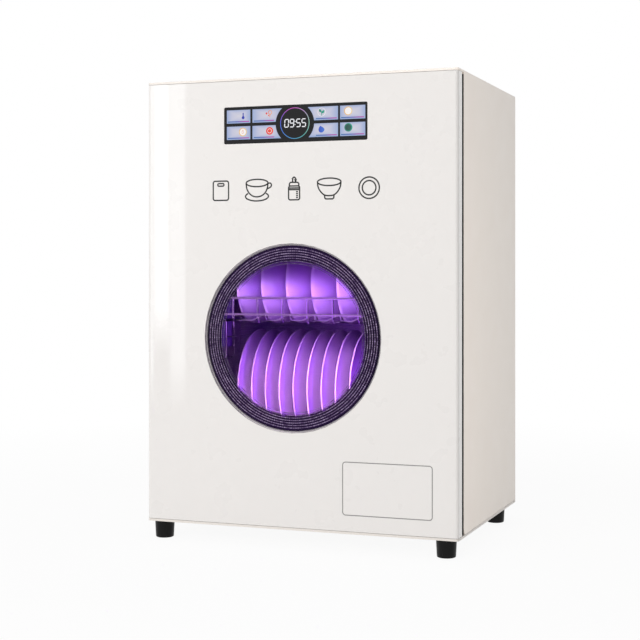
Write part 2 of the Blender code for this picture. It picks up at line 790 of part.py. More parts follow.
def make_rack_rail(name, side, row, lamp_notch):
    """An angle on a cavity wall. The rack's end wires slide on its ledge."""
    top_z = rack_floor_z(row) - RACK_WIRE_RADIUS - FACE_GAP
    wall_x = CAVITY_WALL_X - FACE_GAP
    ledge_x = wall_x - RAIL_LEDGE
    ends = sorted((side * wall_x, side * ledge_x))
    rail = box((ends[0], RAIL_FRONT_Y, top_z - RAIL_LEG), (ends[1], RAIL_REAR_Y, top_z))
    as_piece(rail, name, "case", STEEL)
    room = sorted((side * (wall_x - LINER_SHEET), side * (ledge_x - OVERRUN)))
    cut(
        rail,
        box(
            (room[0], RAIL_FRONT_Y - OVERRUN, top_z - RAIL_LEG - OVERRUN),
            (room[1], RAIL_REAR_Y + OVERRUN, top_z - LINER_SHEET),
        ),
    )
    if lamp_notch:
        reach = CAVITY_WALL_X - GUARD_REACH - GUARD_BOW - 2 * GUARD_WIRE_RADIUS
        half = GUARD_SPREAD + 2 * GUARD_WIRE_RADIUS
        notch = box(
            (-wall_x + LINER_SHEET, LAMP_Y - half, top_z - LINER_SHEET - OVERRUN),
            (-reach, LAMP_Y + half, top_z + OVERRUN),
        )
        cut(rail, notch)


def make_rack_rails():
    for side, word in ((-1, "left"), (1, "right")):
        make_rack_rail(f"upper_rail_{word}", side, BOWL_ROW, side < 0)
        make_rack_rail(f"lower_rail_{word}", side, PLATE_ROW, False)


def lamp_x():
    return -CAVITY_WALL_X + LAMP_WALL_OFFSET


def make_lamp_tube():
    half = LAMP_LENGTH / 2
    neck = LAMP_RADIUS - LAMP_END_RADIUS
    outline = [(0, half), (neck, half), (LAMP_RADIUS, half - LAMP_END_RADIUS)]
    outline += [(radius, -height) for radius, height in reversed(outline)]
    place = (lamp_x(), LAMP_Y, LAMP_BOTTOM_Z + half)
    as_piece(turned(outline, place, "Z", PIN_STEPS), "uv_lamp_tube", "case", LAMP_GLASS)


def make_lamp_holder(name, end_z, outward):
    """A socket on the wall that grips one end of the lamp."""
    near_x = FACE_GAP - CAVITY_WALL_X
    inner_z = end_z - outward * HOLDER_GRIP
    outer_z = inner_z + outward * HOLDER_HEIGHT
    holder = box(
        (near_x, LAMP_Y - HOLDER_DEPTH / 2, min(inner_z, outer_z)),
        (near_x + HOLDER_WIDTH, LAMP_Y + HOLDER_DEPTH / 2, max(inner_z, outer_z)),
        [("Z", (1, 0, 0), HOLDER_EDGE_RADIUS, CORNER_SEGMENTS)],
    )
    as_piece(holder, name, "case", BLACK_PLASTIC)
    socket_low = inner_z - outward * OVERRUN
    socket_high = end_z + outward * FACE_GAP
    socket = cylinder(
        LAMP_RADIUS + FACE_GAP,
        abs(socket_high - socket_low),
        (lamp_x(), LAMP_Y, (socket_low + socket_high) / 2),
        "Z",
        PIN_STEPS,
    )
    cut(holder, socket)


def make_lamp_holders():
    make_lamp_holder("lamp_holder_bottom", LAMP_BOTTOM_Z, -1)
    make_lamp_holder("lamp_holder_top", LAMP_BOTTOM_Z + LAMP_LENGTH, 1)


def make_lamp_guard():
    """Two staples in front of and behind the lamp, joined by bowed hoops."""
    wall_x = FACE_GAP - CAVITY_WALL_X
    front_x = GUARD_REACH - CAVITY_WALL_X
    low_z = GUARD_BOTTOM_Z
    high_z = 2 * LAMP_BOTTOM_Z + LAMP_LENGTH - GUARD_BOTTOM_Z
    staples = []
    for side in (-1, 1):
        y = LAMP_Y + side * GUARD_SPREAD
        points = [
            (wall_x, y, low_z),
            (front_x - GUARD_BEND, y, low_z),
            (front_x, y, low_z + GUARD_BEND),
            (front_x, y, high_z - GUARD_BEND),
            (front_x - GUARD_BEND, y, high_z),
            (wall_x, y, high_z),
        ]
        staples.append(wire(points, GUARD_WIRE_RADIUS))
    hoops = []
    for i in range(GUARD_HOOPS):
        z = low_z + (high_z - low_z) * (i + 1 / 2) / GUARD_HOOPS
        points = [
            (front_x, LAMP_Y - GUARD_SPREAD, z),
            (front_x + GUARD_BOW, LAMP_Y - GUARD_SPREAD / 2, z),
            (front_x + GUARD_BOW, LAMP_Y + GUARD_SPREAD / 2, z),
            (front_x, LAMP_Y + GUARD_SPREAD, z),
        ]
        hoops.append(wire(points, GUARD_WIRE_RADIUS))
    guard = as_piece(staples[0], "lamp_guard", "case", WIRE_STEEL)
    unite(guard, staples[1:] + hoops)


def heater_front_y():
    return CAVITY_BACK_Y + LINER_SHEET + FACE_GAP


def fan_front_y():
    return heater_front_y() + HEATER_DEPTH + FACE_GAP


def make_heater_block():
    """A finned heater between the liner's slots and the fan."""
    half = HEATER_SIZE / 2
    front_y = heater_front_y()
    heater = box((-half, front_y, FAN_Z - half), (half, front_y + HEATER_DEPTH, FAN_Z + half))
    as_piece(heater, "heater_block", "case", ZINC)
    inner = HEATER_SIZE - 2 * HEATER_BORDER
    pitch = (inner + HEATER_FIN_THICKNESS) / HEATER_FINS
    size = (pitch - HEATER_FIN_THICKNESS, HEATER_DEPTH + 2 * OVERRUN, inner)
    middle = (0, front_y + HEATER_DEPTH / 2, FAN_Z)
    cut(heater, many_boxes(size, slot_rows(middle, pitch, HEATER_FINS, (1, 0, 0))))


def make_fan_housing():
    """A square frame with a round bore, and the motor boss with its shaft on four struts."""
    half = FAN_SIZE / 2
    front_y = fan_front_y()
    back_y = front_y + FAN_DEPTH
    housing = box(
        (-half, front_y, FAN_Z - half),
        (half, back_y, FAN_Z + half),
        [("Y", (0, 0, 0), FAN_CORNER_RADIUS, CORNER_SEGMENTS)],
    )
    as_piece(housing, "fan_housing", "case", BLACK_PLASTIC)
    middle_y = (front_y + back_y) / 2
    through = FAN_DEPTH + 2 * OVERRUN
    cut(housing, cylinder(FAN_BORE_RADIUS, through, (0, middle_y, FAN_Z), "Y", SEAL_STEPS))
    hole_reach = half - FAN_HOLE_INSET
    for x in (-hole_reach, hole_reach):
        for z in (FAN_Z - hole_reach, FAN_Z + hole_reach):
            cut(housing, cylinder(FAN_HOLE_RADIUS, through, (x, middle_y, z), "Y", HOLE_STEPS))
    boss_y = back_y - FAN_BOSS_HEIGHT
    outline = [
        (0, FAN_BOSS_HEIGHT),
        (FAN_BOSS_RADIUS, FAN_BOSS_HEIGHT),
        (FAN_BOSS_RADIUS, 0),
        (FAN_SHAFT_RADIUS, 0),
        (FAN_SHAFT_RADIUS, -FAN_SHAFT_LENGTH),
        (0, -FAN_SHAFT_LENGTH),
    ]
    boss = turned(outline, (0, boss_y, FAN_Z), "Y", PIN_STEPS)
    reach = FAN_BORE_RADIUS + OVERRUN
    strut_front_y = back_y - FAN_STRUT_WIDTH
    strut_back_y = back_y - FACE_GAP
    across = FAN_STRUT_WIDTH / 2
    struts = [
        box((-reach, strut_front_y, FAN_Z - across), (reach, strut_back_y, FAN_Z + across)),
        box((-across, strut_front_y, FAN_Z - reach), (across, strut_back_y, FAN_Z + reach)),
    ]
    unite(housing, [boss, *struts])


def fan_blade(turn):
    """One cambered blade, twisted from root to tip, as a sheet that Solidify thickens."""
    root = FAN_HUB_RADIUS - FAN_BLADE_THICKNESS
    tip = FAN_BORE_RADIUS - FAN_TIP_GAP
    bm = bmesh.new()
    bmesh.ops.create_grid(bm, x_segments=3, y_segments=4, size=1 / 2)
    for vert in bm.verts:
        along = vert.co.x + 1 / 2
        across = vert.co.y
        angle = FAN_BLADE_ROOT_ANGLE + (FAN_BLADE_TIP_ANGLE - FAN_BLADE_ROOT_ANGLE) * along
        chord = FAN_BLADE_ROOT_CHORD + (FAN_BLADE_TIP_CHORD - FAN_BLADE_ROOT_CHORD) * along
        camber = FAN_BLADE_CAMBER * (1 - (2 * across) ** 2)
        flat = across * chord * math.cos(angle) - camber * math.sin(angle)
        rise = across * chord * math.sin(angle) + camber * math.cos(angle)
        radius = root + (tip - root) * along
        swing = turn + flat / radius
        vert.co = (radius * math.cos(swing), radius * math.sin(swing), rise)
    mesh = bpy.data.meshes.new("blade")
    bm.to_mesh(mesh)
    bm.free()
    blade = turn_to(shape_object(mesh, (0, blade_middle_y(), FAN_Z)), "Y")
    solid = blade.modifiers.new("Thickness", "SOLIDIFY")
    solid.thickness = FAN_BLADE_THICKNESS
    solid.offset = 0
    return blade


def blade_middle_y():
    boss_y = fan_front_y() + FAN_DEPTH - FAN_BOSS_HEIGHT
    return boss_y - FACE_GAP - FAN_HUB_HEIGHT / 2


def make_fan_rotor():
    """Hub with a blind bore for the shaft, and its twisted blades."""
    half = FAN_HUB_HEIGHT / 2
    bore = FAN_SHAFT_RADIUS + RUNNING_GAP
    bore_end = FAN_SHAFT_LENGTH + FACE_GAP
    outline = [
        (bore, half),
        (FAN_HUB_RADIUS, half),
        (FAN_HUB_RADIUS, -half + FAN_BLADE_THICKNESS),
        (FAN_HUB_RADIUS - FAN_BLADE_THICKNESS, -half),
        (0, -half),
        (0, half - bore_end),
        (bore, half - bore_end),
    ]
    outline = outline[5:] + outline[:5]
    hub = turned(outline, (0, blade_middle_y(), FAN_Z), "Y", FOOT_STEPS)
    rotor = as_piece(hub, "fan_rotor", "fan_axis", BLACK_PLASTIC)
    blades = [fan_blade(2 * math.pi * i / FAN_BLADES) for i in range(FAN_BLADES)]
    unite(rotor, blades, "fan_axis")


def make_control_board():
    """A circuit board on four legs, with a transformer, two relays and a socket."""
    base_z = CAVITY_TOP_Z + LINER_SHEET + FACE_GAP
    board_z = base_z + BOARD_LEG
    low_x = BOARD_X - BOARD_WIDTH / 2
    high_x = BOARD_X + BOARD_WIDTH / 2
    low_y = SERVICE_Y - BOARD_DEPTH / 2
    high_y = SERVICE_Y + BOARD_DEPTH / 2
    top_z = board_z + BOARD_THICKNESS
    board = box((low_x, low_y, board_z), (high_x, high_y, top_z))
    as_piece(board, "control_board", "case", BOARD_GREEN)
    inset = BOARD_LEG_SIZE / 4
    others = []
    for x in (low_x + inset, high_x - inset - BOARD_LEG_SIZE):
        for y in (low_y + inset, high_y - inset - BOARD_LEG_SIZE):
            leg_top = (x + BOARD_LEG_SIZE, y + BOARD_LEG_SIZE, board_z + BOARD_THICKNESS / 2)
            others.append(box((x, y, base_z), leg_top))
    seat_z = board_z + BOARD_THICKNESS / 2
    block = TRANSFORMER_SIZE / 2
    others.append(
        box((BOARD_X - block, SERVICE_Y - block, seat_z), (BOARD_X + block, SERVICE_Y + block, top_z + block * 2))
    )
    relay = RELAY_SIZE / 2
    for side in (-1, 1):
        x = BOARD_X + side * BOARD_WIDTH / 3
        others.append(
            box((x - relay, SERVICE_Y - relay, seat_z), (x + relay, SERVICE_Y + relay, top_z + RELAY_SIZE))
        )
    socket_y = high_y - 2 * SOCKET_DEPTH
    socket_low = (BOARD_X - SOCKET_WIDTH / 2, socket_y, seat_z)
    socket_high = (BOARD_X + SOCKET_WIDTH / 2, socket_y + SOCKET_DEPTH, top_z + SOCKET_HEIGHT)
    others.append(box(socket_low, socket_high))
    unite(board, others)


def make_lamp_ballast():
    """A closed box with an ear at each end."""
    base_z = CAVITY_TOP_Z + LINER_SHEET + FACE_GAP
    half_x = BALLAST_WIDTH / 2
    half_y = BALLAST_DEPTH / 2
    ear_x = half_x + BALLAST_EAR
    ears = box(
        (BALLAST_X - ear_x, SERVICE_Y - half_y / 2, base_z),
        (BALLAST_X + ear_x, SERVICE_Y + half_y / 2, base_z + BALLAST_EAR_THICKNESS),
    )
    body = box(
        (BALLAST_X - half_x, SERVICE_Y - half_y, base_z),
        (BALLAST_X + half_x, SERVICE_Y + half_y, base_z + BALLAST_HEIGHT),
        [("Z", (0, 0, 0), BALLAST_EDGE_RADIUS, SMALL_SEGMENTS)],
    )
    as_piece(body, "lamp_ballast", "case", ZINC)
    unite(body, [ears])


def make_feet():
    """Four black tapered feet under the case, the front pair under the door's lip."""
    bottom_radius = FOOT_RADIUS * FOOT_TAPER_SHARE
    outline = [(0, -FACE_GAP), (FOOT_RADIUS, -FACE_GAP)]
    for i in range(SMALL_SEGMENTS + 1):
        angle = math.pi / 2 * i / SMALL_SEGMENTS
        radius = bottom_radius - FOOT_EDGE_RADIUS * (1 - math.cos(angle))
        height = FOOT_EDGE_RADIUS * (1 - math.sin(angle)) - CASE_BOTTOM
        outline.append((radius, height))
    outline.append((0, -CASE_BOTTOM))
    for side, word in ((-1, "left"), (1, "right")):
        x = side * (HALF_WIDTH - FOOT_SIDE_INSET)
        for end, y in (("front", FOOT_FRONT_INSET), ("rear", CASE_DEPTH - FOOT_REAR_INSET)):
            foot = turned(outline, (x, y, 0), "Z", FOOT_STEPS)
            as_piece(foot, f"foot_{end}_{word}", "case", BLACK_RUBBER)


def make_hinge_pin(name, outer_z, inward):
    """A headed pin let into a lip, whose shank reaches into the door's bush."""
    shank = LIP_THICKNESS + DOOR_END_GAP + PIN_ENGAGEMENT
    outline = [
        (0, 0),
        (PIN_HEAD_RADIUS, 0),
        (PIN_HEAD_RADIUS, -PIN_HEAD_HEIGHT),
        (PIN_RADIUS, -PIN_HEAD_HEIGHT),
        (PIN_RADIUS, PIN_CHAMFER - shank),
        (PIN_RADIUS - PIN_CHAMFER, -shank),
        (0, -shank),
    ]
    if inward > 0:
        outline = [(radius, -height) for radius, height in reversed(outline)]
    as_piece(turned(outline, (HINGE_X, HINGE_Y, outer_z), "Z", PIN_STEPS), name, "case", ZINC)


def make_hinge_bush(name, door_end_z, inward):
    """A sleeve in the door's end wall."""
    bore = PIN_RADIUS + RUNNING_GAP
    outer = bore + BUSH_WALL
    outline = [(bore, 0), (outer, 0), (outer, -BUSH_LENGTH), (bore, -BUSH_LENGTH)]
    if inward > 0:
        outline = [(radius, -height) for radius, height in reversed(outline)]
    bush = turned(outline, (HINGE_X, HINGE_Y, door_end_z), "Z", PIN_STEPS, ring=True)
    as_piece(bush, name, "door_pivot", BRONZE)


def make_hinges():
    make_hinge_pin("hinge_pin_top", CASE_HEIGHT, -1)
    make_hinge_pin("hinge_pin_bottom", 0, 1)
    make_hinge_bush("hinge_bush_top", DOOR_TOP_Z, -1)
    make_hinge_bush("hinge_bush_bottom", DOOR_BOTTOM_Z, 1)


def make_door_panel():
    """The white front shell of the door, open at the rear, with its window and display cut out."""
    rounds = [
        ("Z", (0, -1, 0), EDGE_RADIUS, EDGE_SEGMENTS),
        ("Z", (0, 1, 0), DOOR_REAR_RADIUS, SMALL_SEGMENTS),
    ]
    panel = box((-HALF_WIDTH, 0, DOOR_BOTTOM_Z), (HALF_WIDTH, DOOR_THICKNESS, DOOR_TOP_Z), rounds)
    as_piece(panel, "door_panel", "door_pivot", WHITE_GLOSS)
    pocket = box(
        (DOOR_WALL - HALF_WIDTH, DOOR_FRONT_WALL, DOOR_BOTTOM_Z + DOOR_WALL),
        (HALF_WIDTH - DOOR_WALL, DOOR_THICKNESS + OVERRUN, DOOR_TOP_Z - DOOR_WALL),
    )
    hole = cylinder(
        WINDOW_RADIUS + FACE_GAP,
        2 * (DOOR_FRONT_WALL + OVERRUN),
        (WINDOW_X, 0, WINDOW_Z),
        "Y",
        WINDOW_STEPS,
    )
    half_x = DISPLAY_WIDTH / 2 + FACE_GAP
    half_z = DISPLAY_HEIGHT / 2 + FACE_GAP
    opening = box(
        (DISPLAY_X - half_x, -OVERRUN, DISPLAY_Z - half_z),
        (DISPLAY_X + half_x, DOOR_FRONT_WALL + OVERRUN, DISPLAY_Z + half_z),
        [("Y", (0, 0, 0), DISPLAY_CORNER_RADIUS, SMALL_SEGMENTS)],
    )
    bush_hole = PIN_RADIUS + RUNNING_GAP + BUSH_WALL + FACE_GAP
    bush_holes = [
        cylinder(bush_hole, 2 * (DOOR_WALL + OVERRUN), (HINGE_X, HINGE_Y, z), "Z", PIN_STEPS)
        for z in (DOOR_BOTTOM_Z, DOOR_TOP_Z)
    ]
    for cutter in [pocket, hole, opening, *bush_holes]:
        cut(panel, cutter, "door_pivot")


def make_door_back_panel():
    inset = DOOR_WALL + FACE_GAP
    panel = box(
        (inset - HALF_WIDTH, DOOR_THICKNESS - BACK_PANEL_THICKNESS, DOOR_BOTTOM_Z + inset),
        (HALF_WIDTH - inset, DOOR_THICKNESS, DOOR_TOP_Z - inset),
    )
    as_piece(panel, "door_back_panel", "door_pivot", WHITE_PAINT)
    hole = cylinder(
        INNER_PANE_RADIUS + FACE_GAP,
        BACK_PANEL_THICKNESS + 2 * OVERRUN,
        (WINDOW_X, DOOR_THICKNESS - BACK_PANEL_THICKNESS / 2, WINDOW_Z),
        "Y",
        SEAL_STEPS,
    )
    cut(panel, hole, "door_pivot")


def make_window():
    """Outer pane flush with the door's front, sealing ring behind it and inner pane in the back panel."""
    chamfered = WINDOW_RADIUS - PANE_CHAMFER
    outline = [
        (0, PANE_THICKNESS),
        (WINDOW_RADIUS, PANE_THICKNESS),
        (WINDOW_RADIUS, PANE_CHAMFER),
        (chamfered, 0),
        (0, 0),
    ]
    pane = turned(outline, (WINDOW_X, 0, WINDOW_Z), "Y", WINDOW_STEPS)
    as_piece(pane, "window_pane", "door_pivot", CLEAR_GLASS)
    seal_front_y = PANE_THICKNESS + FACE_GAP
    seal_depth = DOOR_THICKNESS - BACK_PANEL_THICKNESS - FACE_GAP - seal_front_y
    outline = [
        (SEAL_INNER_RADIUS, seal_depth),
        (SEAL_OUTER_RADIUS, seal_depth),
        (SEAL_OUTER_RADIUS, 0),
        (SEAL_INNER_RADIUS, 0),
    ]
    seal = turned(outline, (WINDOW_X, seal_front_y, WINDOW_Z), "Y", SEAL_STEPS, ring=True)
    as_piece(seal, "window_seal", "door_pivot", BLACK_RUBBER)
    outline = [
        (0, INNER_PANE_THICKNESS),
        (INNER_PANE_RADIUS, INNER_PANE_THICKNESS),
        (INNER_PANE_RADIUS, 0),
        (0, 0),
    ]
    inner_y = DOOR_THICKNESS - BACK_PANEL_THICKNESS
    inner = turned(outline, (WINDOW_X, inner_y, WINDOW_Z), "Y", SEAL_STEPS)
    as_piece(inner, "window_inner_pane", "door_pivot", CLEAR_GLASS)


def make_display():
    half_x = DISPLAY_WIDTH / 2
    half_z = DISPLAY_HEIGHT / 2
    glass = box(
        (DISPLAY_X - half_x, 0, DISPLAY_Z - half_z),
        (DISPLAY_X + half_x, DISPLAY_GLASS_THICKNESS, DISPLAY_Z + half_z),
        [("Y", (0, 0, 0), DISPLAY_CORNER_RADIUS, SMALL_SEGMENTS)],
    )
    as_piece(glass, "display_glass", "door_pivot", BLACK_GLASS)
    front_y = DOOR_FRONT_WALL + FACE_GAP
    module = box(
        (DISPLAY_X - half_x - MODULE_BORDER, front_y, DISPLAY_Z - half_z - MODULE_BORDER),
        (DISPLAY_X + half_x + MODULE_BORDER, front_y + MODULE_THICKNESS, DISPLAY_Z + half_z + MODULE_BORDER),
    )
    as_piece(module, "display_module", "door_pivot", BOARD_GREEN)


def make_door_gasket():
    """A rounded square ring between the door's rear face and the front frame."""
    front_y = DOOR_THICKNESS + FACE_GAP
    back_y = FRAME_FRONT_Y - FACE_GAP
    outer_x = HALF_WIDTH - GASKET_SIDE_INSET
    low_z = DOOR_BOTTOM_Z + GASKET_END_INSET
    high_z = DOOR_TOP_Z - GASKET_END_INSET
    gasket = box(
        (-outer_x, front_y, low_z),
        (outer_x, back_y, high_z),
        [("Y", (0, 0, 0), GASKET_RADIUS, CORNER_SEGMENTS)],
    )
    as_piece(gasket, "door_gasket", "door_pivot", GREY_RUBBER)
    inner_x = outer_x - GASKET_WIDTH
    middle = box(
        (-inner_x, front_y - OVERRUN, low_z + GASKET_WIDTH),
        (inner_x, back_y + OVERRUN, high_z - GASKET_WIDTH),
        [("Y", (0, 0, 0), GASKET_RADIUS - GASKET_WIDTH / 2, CORNER_SEGMENTS)],
    )
    cut(gasket, middle, "door_pivot")


def make_catch():
    """Magnet catch and door sensor on the front frame, and the strike plate on the door."""
    edges = [("Y", (0, 0, 0), CATCH_EDGE_RADIUS, SMALL_SEGMENTS)]
    strike_y = DOOR_THICKNESS + FACE_GAP
    strike_x = CATCH_WIDTH / 2 - STRIKE_BORDER
    strike_z = CATCH_HEIGHT / 2 - STRIKE_BORDER
    strike = box(
        (CATCH_X - strike_x, strike_y, CATCH_Z - strike_z),
        (CATCH_X + strike_x, strike_y + STRIKE_THICKNESS, CATCH_Z + strike_z),
        edges,
    )
    as_piece(strike, "strike_plate", "door_pivot", STEEL)
    catch_y = strike_y + STRIKE_THICKNESS + FACE_GAP
    back_y = FRAME_FRONT_Y - FACE_GAP
    catch = box(
        (CATCH_X - CATCH_WIDTH / 2, catch_y, CATCH_Z - CATCH_HEIGHT / 2),
        (CATCH_X + CATCH_WIDTH / 2, back_y, CATCH_Z + CATCH_HEIGHT / 2),
        edges,
    )
    as_piece(catch, "magnet_catch", "case", BLACK_PLASTIC)
    sensor = box(
        (SENSOR_X - SENSOR_WIDTH / 2, back_y - SENSOR_DEPTH, CATCH_Z - SENSOR_HEIGHT / 2),
        (SENSOR_X + SENSOR_WIDTH / 2, back_y, CATCH_Z + SENSOR_HEIGHT / 2),
        edges,
    )
    as_piece(sensor, "door_sensor", "case", BLACK_PLASTIC)


def dish_outer_radius(dish, depth):
    """Outer radius at a distance from the rim, along the dish's axis."""
    rest = 1 - (depth / dish.body) ** dish.bend
    return dish.foot_radius + (dish.radius - dish.foot_radius) * max(rest, 0) ** (1 / dish.flare)


def dish_outline(dish):
    """Half section from the foot's middle over the outside and the rim to the inside's middle."""
    outline = [(0, dish.body)]
    if dish.foot_height:
        ring_end = dish.body + dish.foot_height
        ring_bore = dish.foot_radius - dish.wall
        outline += [(ring_bore, dish.body), (ring_bore, ring_end), (dish.foot_radius, ring_end)]
    inside = dish._replace(
        radius=dish.radius - dish.wall,
        body=dish.body - dish.wall,
        foot_radius=dish.foot_radius - dish.wall,
    )
    steps = [math.sin(math.pi / 2 * i / dish.points) for i in range(dish.points + 1)]
    outline += [(dish_outer_radius(dish, dish.body * s), dish.body * s) for s in reversed(steps)]
    outline += [(dish_outer_radius(inside, inside.body * s), inside.body * s) for s in steps]
    outline.append((0, inside.body))
    return outline


def row_rim_x(row):
    return [FIRST_RIM_X + row.pitch * i for i in range(row.count)]


def dish_centre_z(row):
    """The dishes lie on the two zigzag wires, which run an offset in front of and behind their middle."""
    seat_z = row.rack_z + RACK_WIRE_RADIUS + FACE_GAP
    return seat_z + math.sqrt(row.dish.radius**2 - row.offset**2)


def make_dishes(row, word, pivot):
    outline = dish_outline(row.dish)
    for number, x in enumerate(row_rim_x(row), 1):
        dish = turned(outline, (x, row.y, dish_centre_z(row)), "X", DISH_STEPS)
        as_piece(dish, f"{word}_{number}", pivot, GLAZE)


def zigzag_points(row, y):
    """A wire that dips into a flat valley under each rim and rises to a peak behind it."""
    end_x = RACK_HALF_WIDTH - RACK_WIRE_RADIUS
    floor_z = rack_floor_z(row)
    clear_radius = dish_outer_radius(row.dish, row.peak - 2 * RACK_WIRE_RADIUS)
    ceiling = dish_centre_z(row) - math.sqrt(clear_radius**2 - row.offset**2)
    peak_z = ceiling - RACK_WIRE_RADIUS - DISH_CLEARANCE
    points = [(-end_x, y, floor_z)]
    for x in row_rim_x(row):
        points.append((x - VALLEY_LEAD, y, row.rack_z))
        points.append((x + row.valley, y, row.rack_z))
        points.append((x + row.peak, y, peak_z))
    last_x = points[-1][0]
    points.append((last_x + row.pitch / 2, y, row.rack_z))
    points.append((end_x, y, floor_z))
    return points


def loop_places(row):
    """Places of the wires that run from front to rear: the two ends and then between the dishes."""
    end_x = RACK_HALF_WIDTH - RACK_WIRE_RADIUS
    between = [x + row.peak for x in row_rim_x(row)][:: row.loop_stride]
    first = between[0] - row.pitch * row.loop_stride
    left = [(first - end_x) / 2] if first + end_x > row.pitch else []
    last = between[-1]
    step = (end_x - last) / (RIGHT_LOOPS + 1)
    right = [last + step * i for i in range(1, RIGHT_LOOPS + 1)]
    return [-end_x, *left, first, *between, *right, end_x]


def loop_points(row, x):
    """A wire down from the front rails, under the dishes and up to the rear rails."""
    low = rack_floor_z(row)
    high = row.rack_z + RACK_RAIL_HIGH + RACK_WIRE_RADIUS * WIRE_SINK_SHARE
    front = RACK_FRONT_Y + 2 * RACK_WIRE_RADIUS * WIRE_SINK_SHARE
    rear = RACK_REAR_Y - 2 * RACK_WIRE_RADIUS * WIRE_SINK_SHARE
    return [
        (x, front, high),
        (x, front, low + RACK_BEND),
        (x, front + RACK_BEND, low),
        (x, rear - RACK_BEND, low),
        (x, rear, low + RACK_BEND),
        (x, rear, high),
    ]


def make_rack(name, pivot, row):
    """Four straight rails, the zigzag pair that the dishes stand on and the loops that carry them."""
    end_x = RACK_HALF_WIDTH
    rails = [
        wire([(-end_x, y, row.rack_z + z), (end_x, y, row.rack_z + z)], RACK_WIRE_RADIUS)
        for y in (RACK_FRONT_Y, RACK_REAR_Y)
        for z in (RACK_RAIL_LOW, RACK_RAIL_HIGH)
    ]
    zigzags = [
        wire(zigzag_points(row, row.y + side * row.offset), RACK_WIRE_RADIUS) for side in (-1, 1)
    ]
    loops = [wire(loop_points(row, x), RACK_WIRE_RADIUS) for x in loop_places(row)]
    rack = as_piece(rails[0], name, pivot, WIRE_STEEL)
    unite(rack, rails[1:] + zigzags + loops, pivot)


def make_drip_tray():
    """A shallow tray on the cavity floor, with a rim all round to lift it by."""
    half_x = CAVITY_WALL_X - TRAY_SIDE_GAP
    bottom_z = CAVITY_FLOOR_Z + FACE_GAP
    top_z = bottom_z + TRAY_HEIGHT
    rim = box(
        (-half_x, TRAY_FRONT_Y, top_z - TRAY_WALL),
        (half_x, TRAY_REAR_Y, top_z),
        [("Z", (0, 0, 0), TRAY_RADIUS, CORNER_SEGMENTS)],
    )
    tray = as_piece(rim, "drip_tray", "drip_tray_slide", STEEL)
    body = box(
        (TRAY_RIM - half_x, TRAY_FRONT_Y + TRAY_RIM, bottom_z),
        (half_x - TRAY_RIM, TRAY_REAR_Y - TRAY_RIM, top_z - TRAY_WALL / 2),
        [("Z", (0, 0, 0), TRAY_RADIUS - TRAY_RIM, CORNER_SEGMENTS)],
    )
    unite(tray, [body], "drip_tray_slide")
    inset = TRAY_RIM + TRAY_WALL
    hollow = box(
        (inset - half_x, TRAY_FRONT_Y + inset, bottom_z + TRAY_WALL),
        (half_x - inset, TRAY_REAR_Y - inset, top_z + OVERRUN),
        [("Z", (0, 0, 0), TRAY_RADIUS - inset, CORNER_SEGMENTS)],
    )
    cut(tray, hollow, "drip_tray_slide")


def weight_normals():
    """Makes flat faces look flat where they meet cuts and rounded edges."""
    for piece in PARTS.objects:
        if piece.type == "MESH" and piece.modifiers:
            normals = piece.modifiers.new("Normals", "WEIGHTED_NORMAL")
            normals.keep_sharp = True


def main():
    make_pivots()
    make_outer_shell()
    make_base_plate()
    make_rear_panel()
    make_cord_gland()
    make_front_frame()
    make_liner_shell()
    make_rack_rails()
    make_lamp_tube()
    make_lamp_holders()
    make_lamp_guard()
    make_heater_block()
    make_fan_housing()
    make_fan_rotor()
    make_control_board()
    make_lamp_ballast()
    make_feet()
    make_hinges()
    make_door_panel()
    make_door_back_panel()
    make_window()
    make_display()
    make_door_gasket()
    make_catch()
    make_rack("upper_rack", "upper_rack_slide", BOWL_ROW)
    make_dishes(BOWL_ROW, "bowl", "upper_rack_slide")
    make_rack("lower_rack", "lower_rack_slide", PLATE_ROW)
    make_dishes(PLATE_ROW, "plate", "lower_rack_slide")
    make_drip_tray()
    weight_normals()
    bpy.context.view_layer.update()


main()
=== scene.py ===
"""The looks of a countertop dish sterilizer cabinet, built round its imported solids.

Lengths are in metres. Drawings on the door are written in millimetres from the case's lower left corner.
"""

import json
import math
from collections import namedtuple

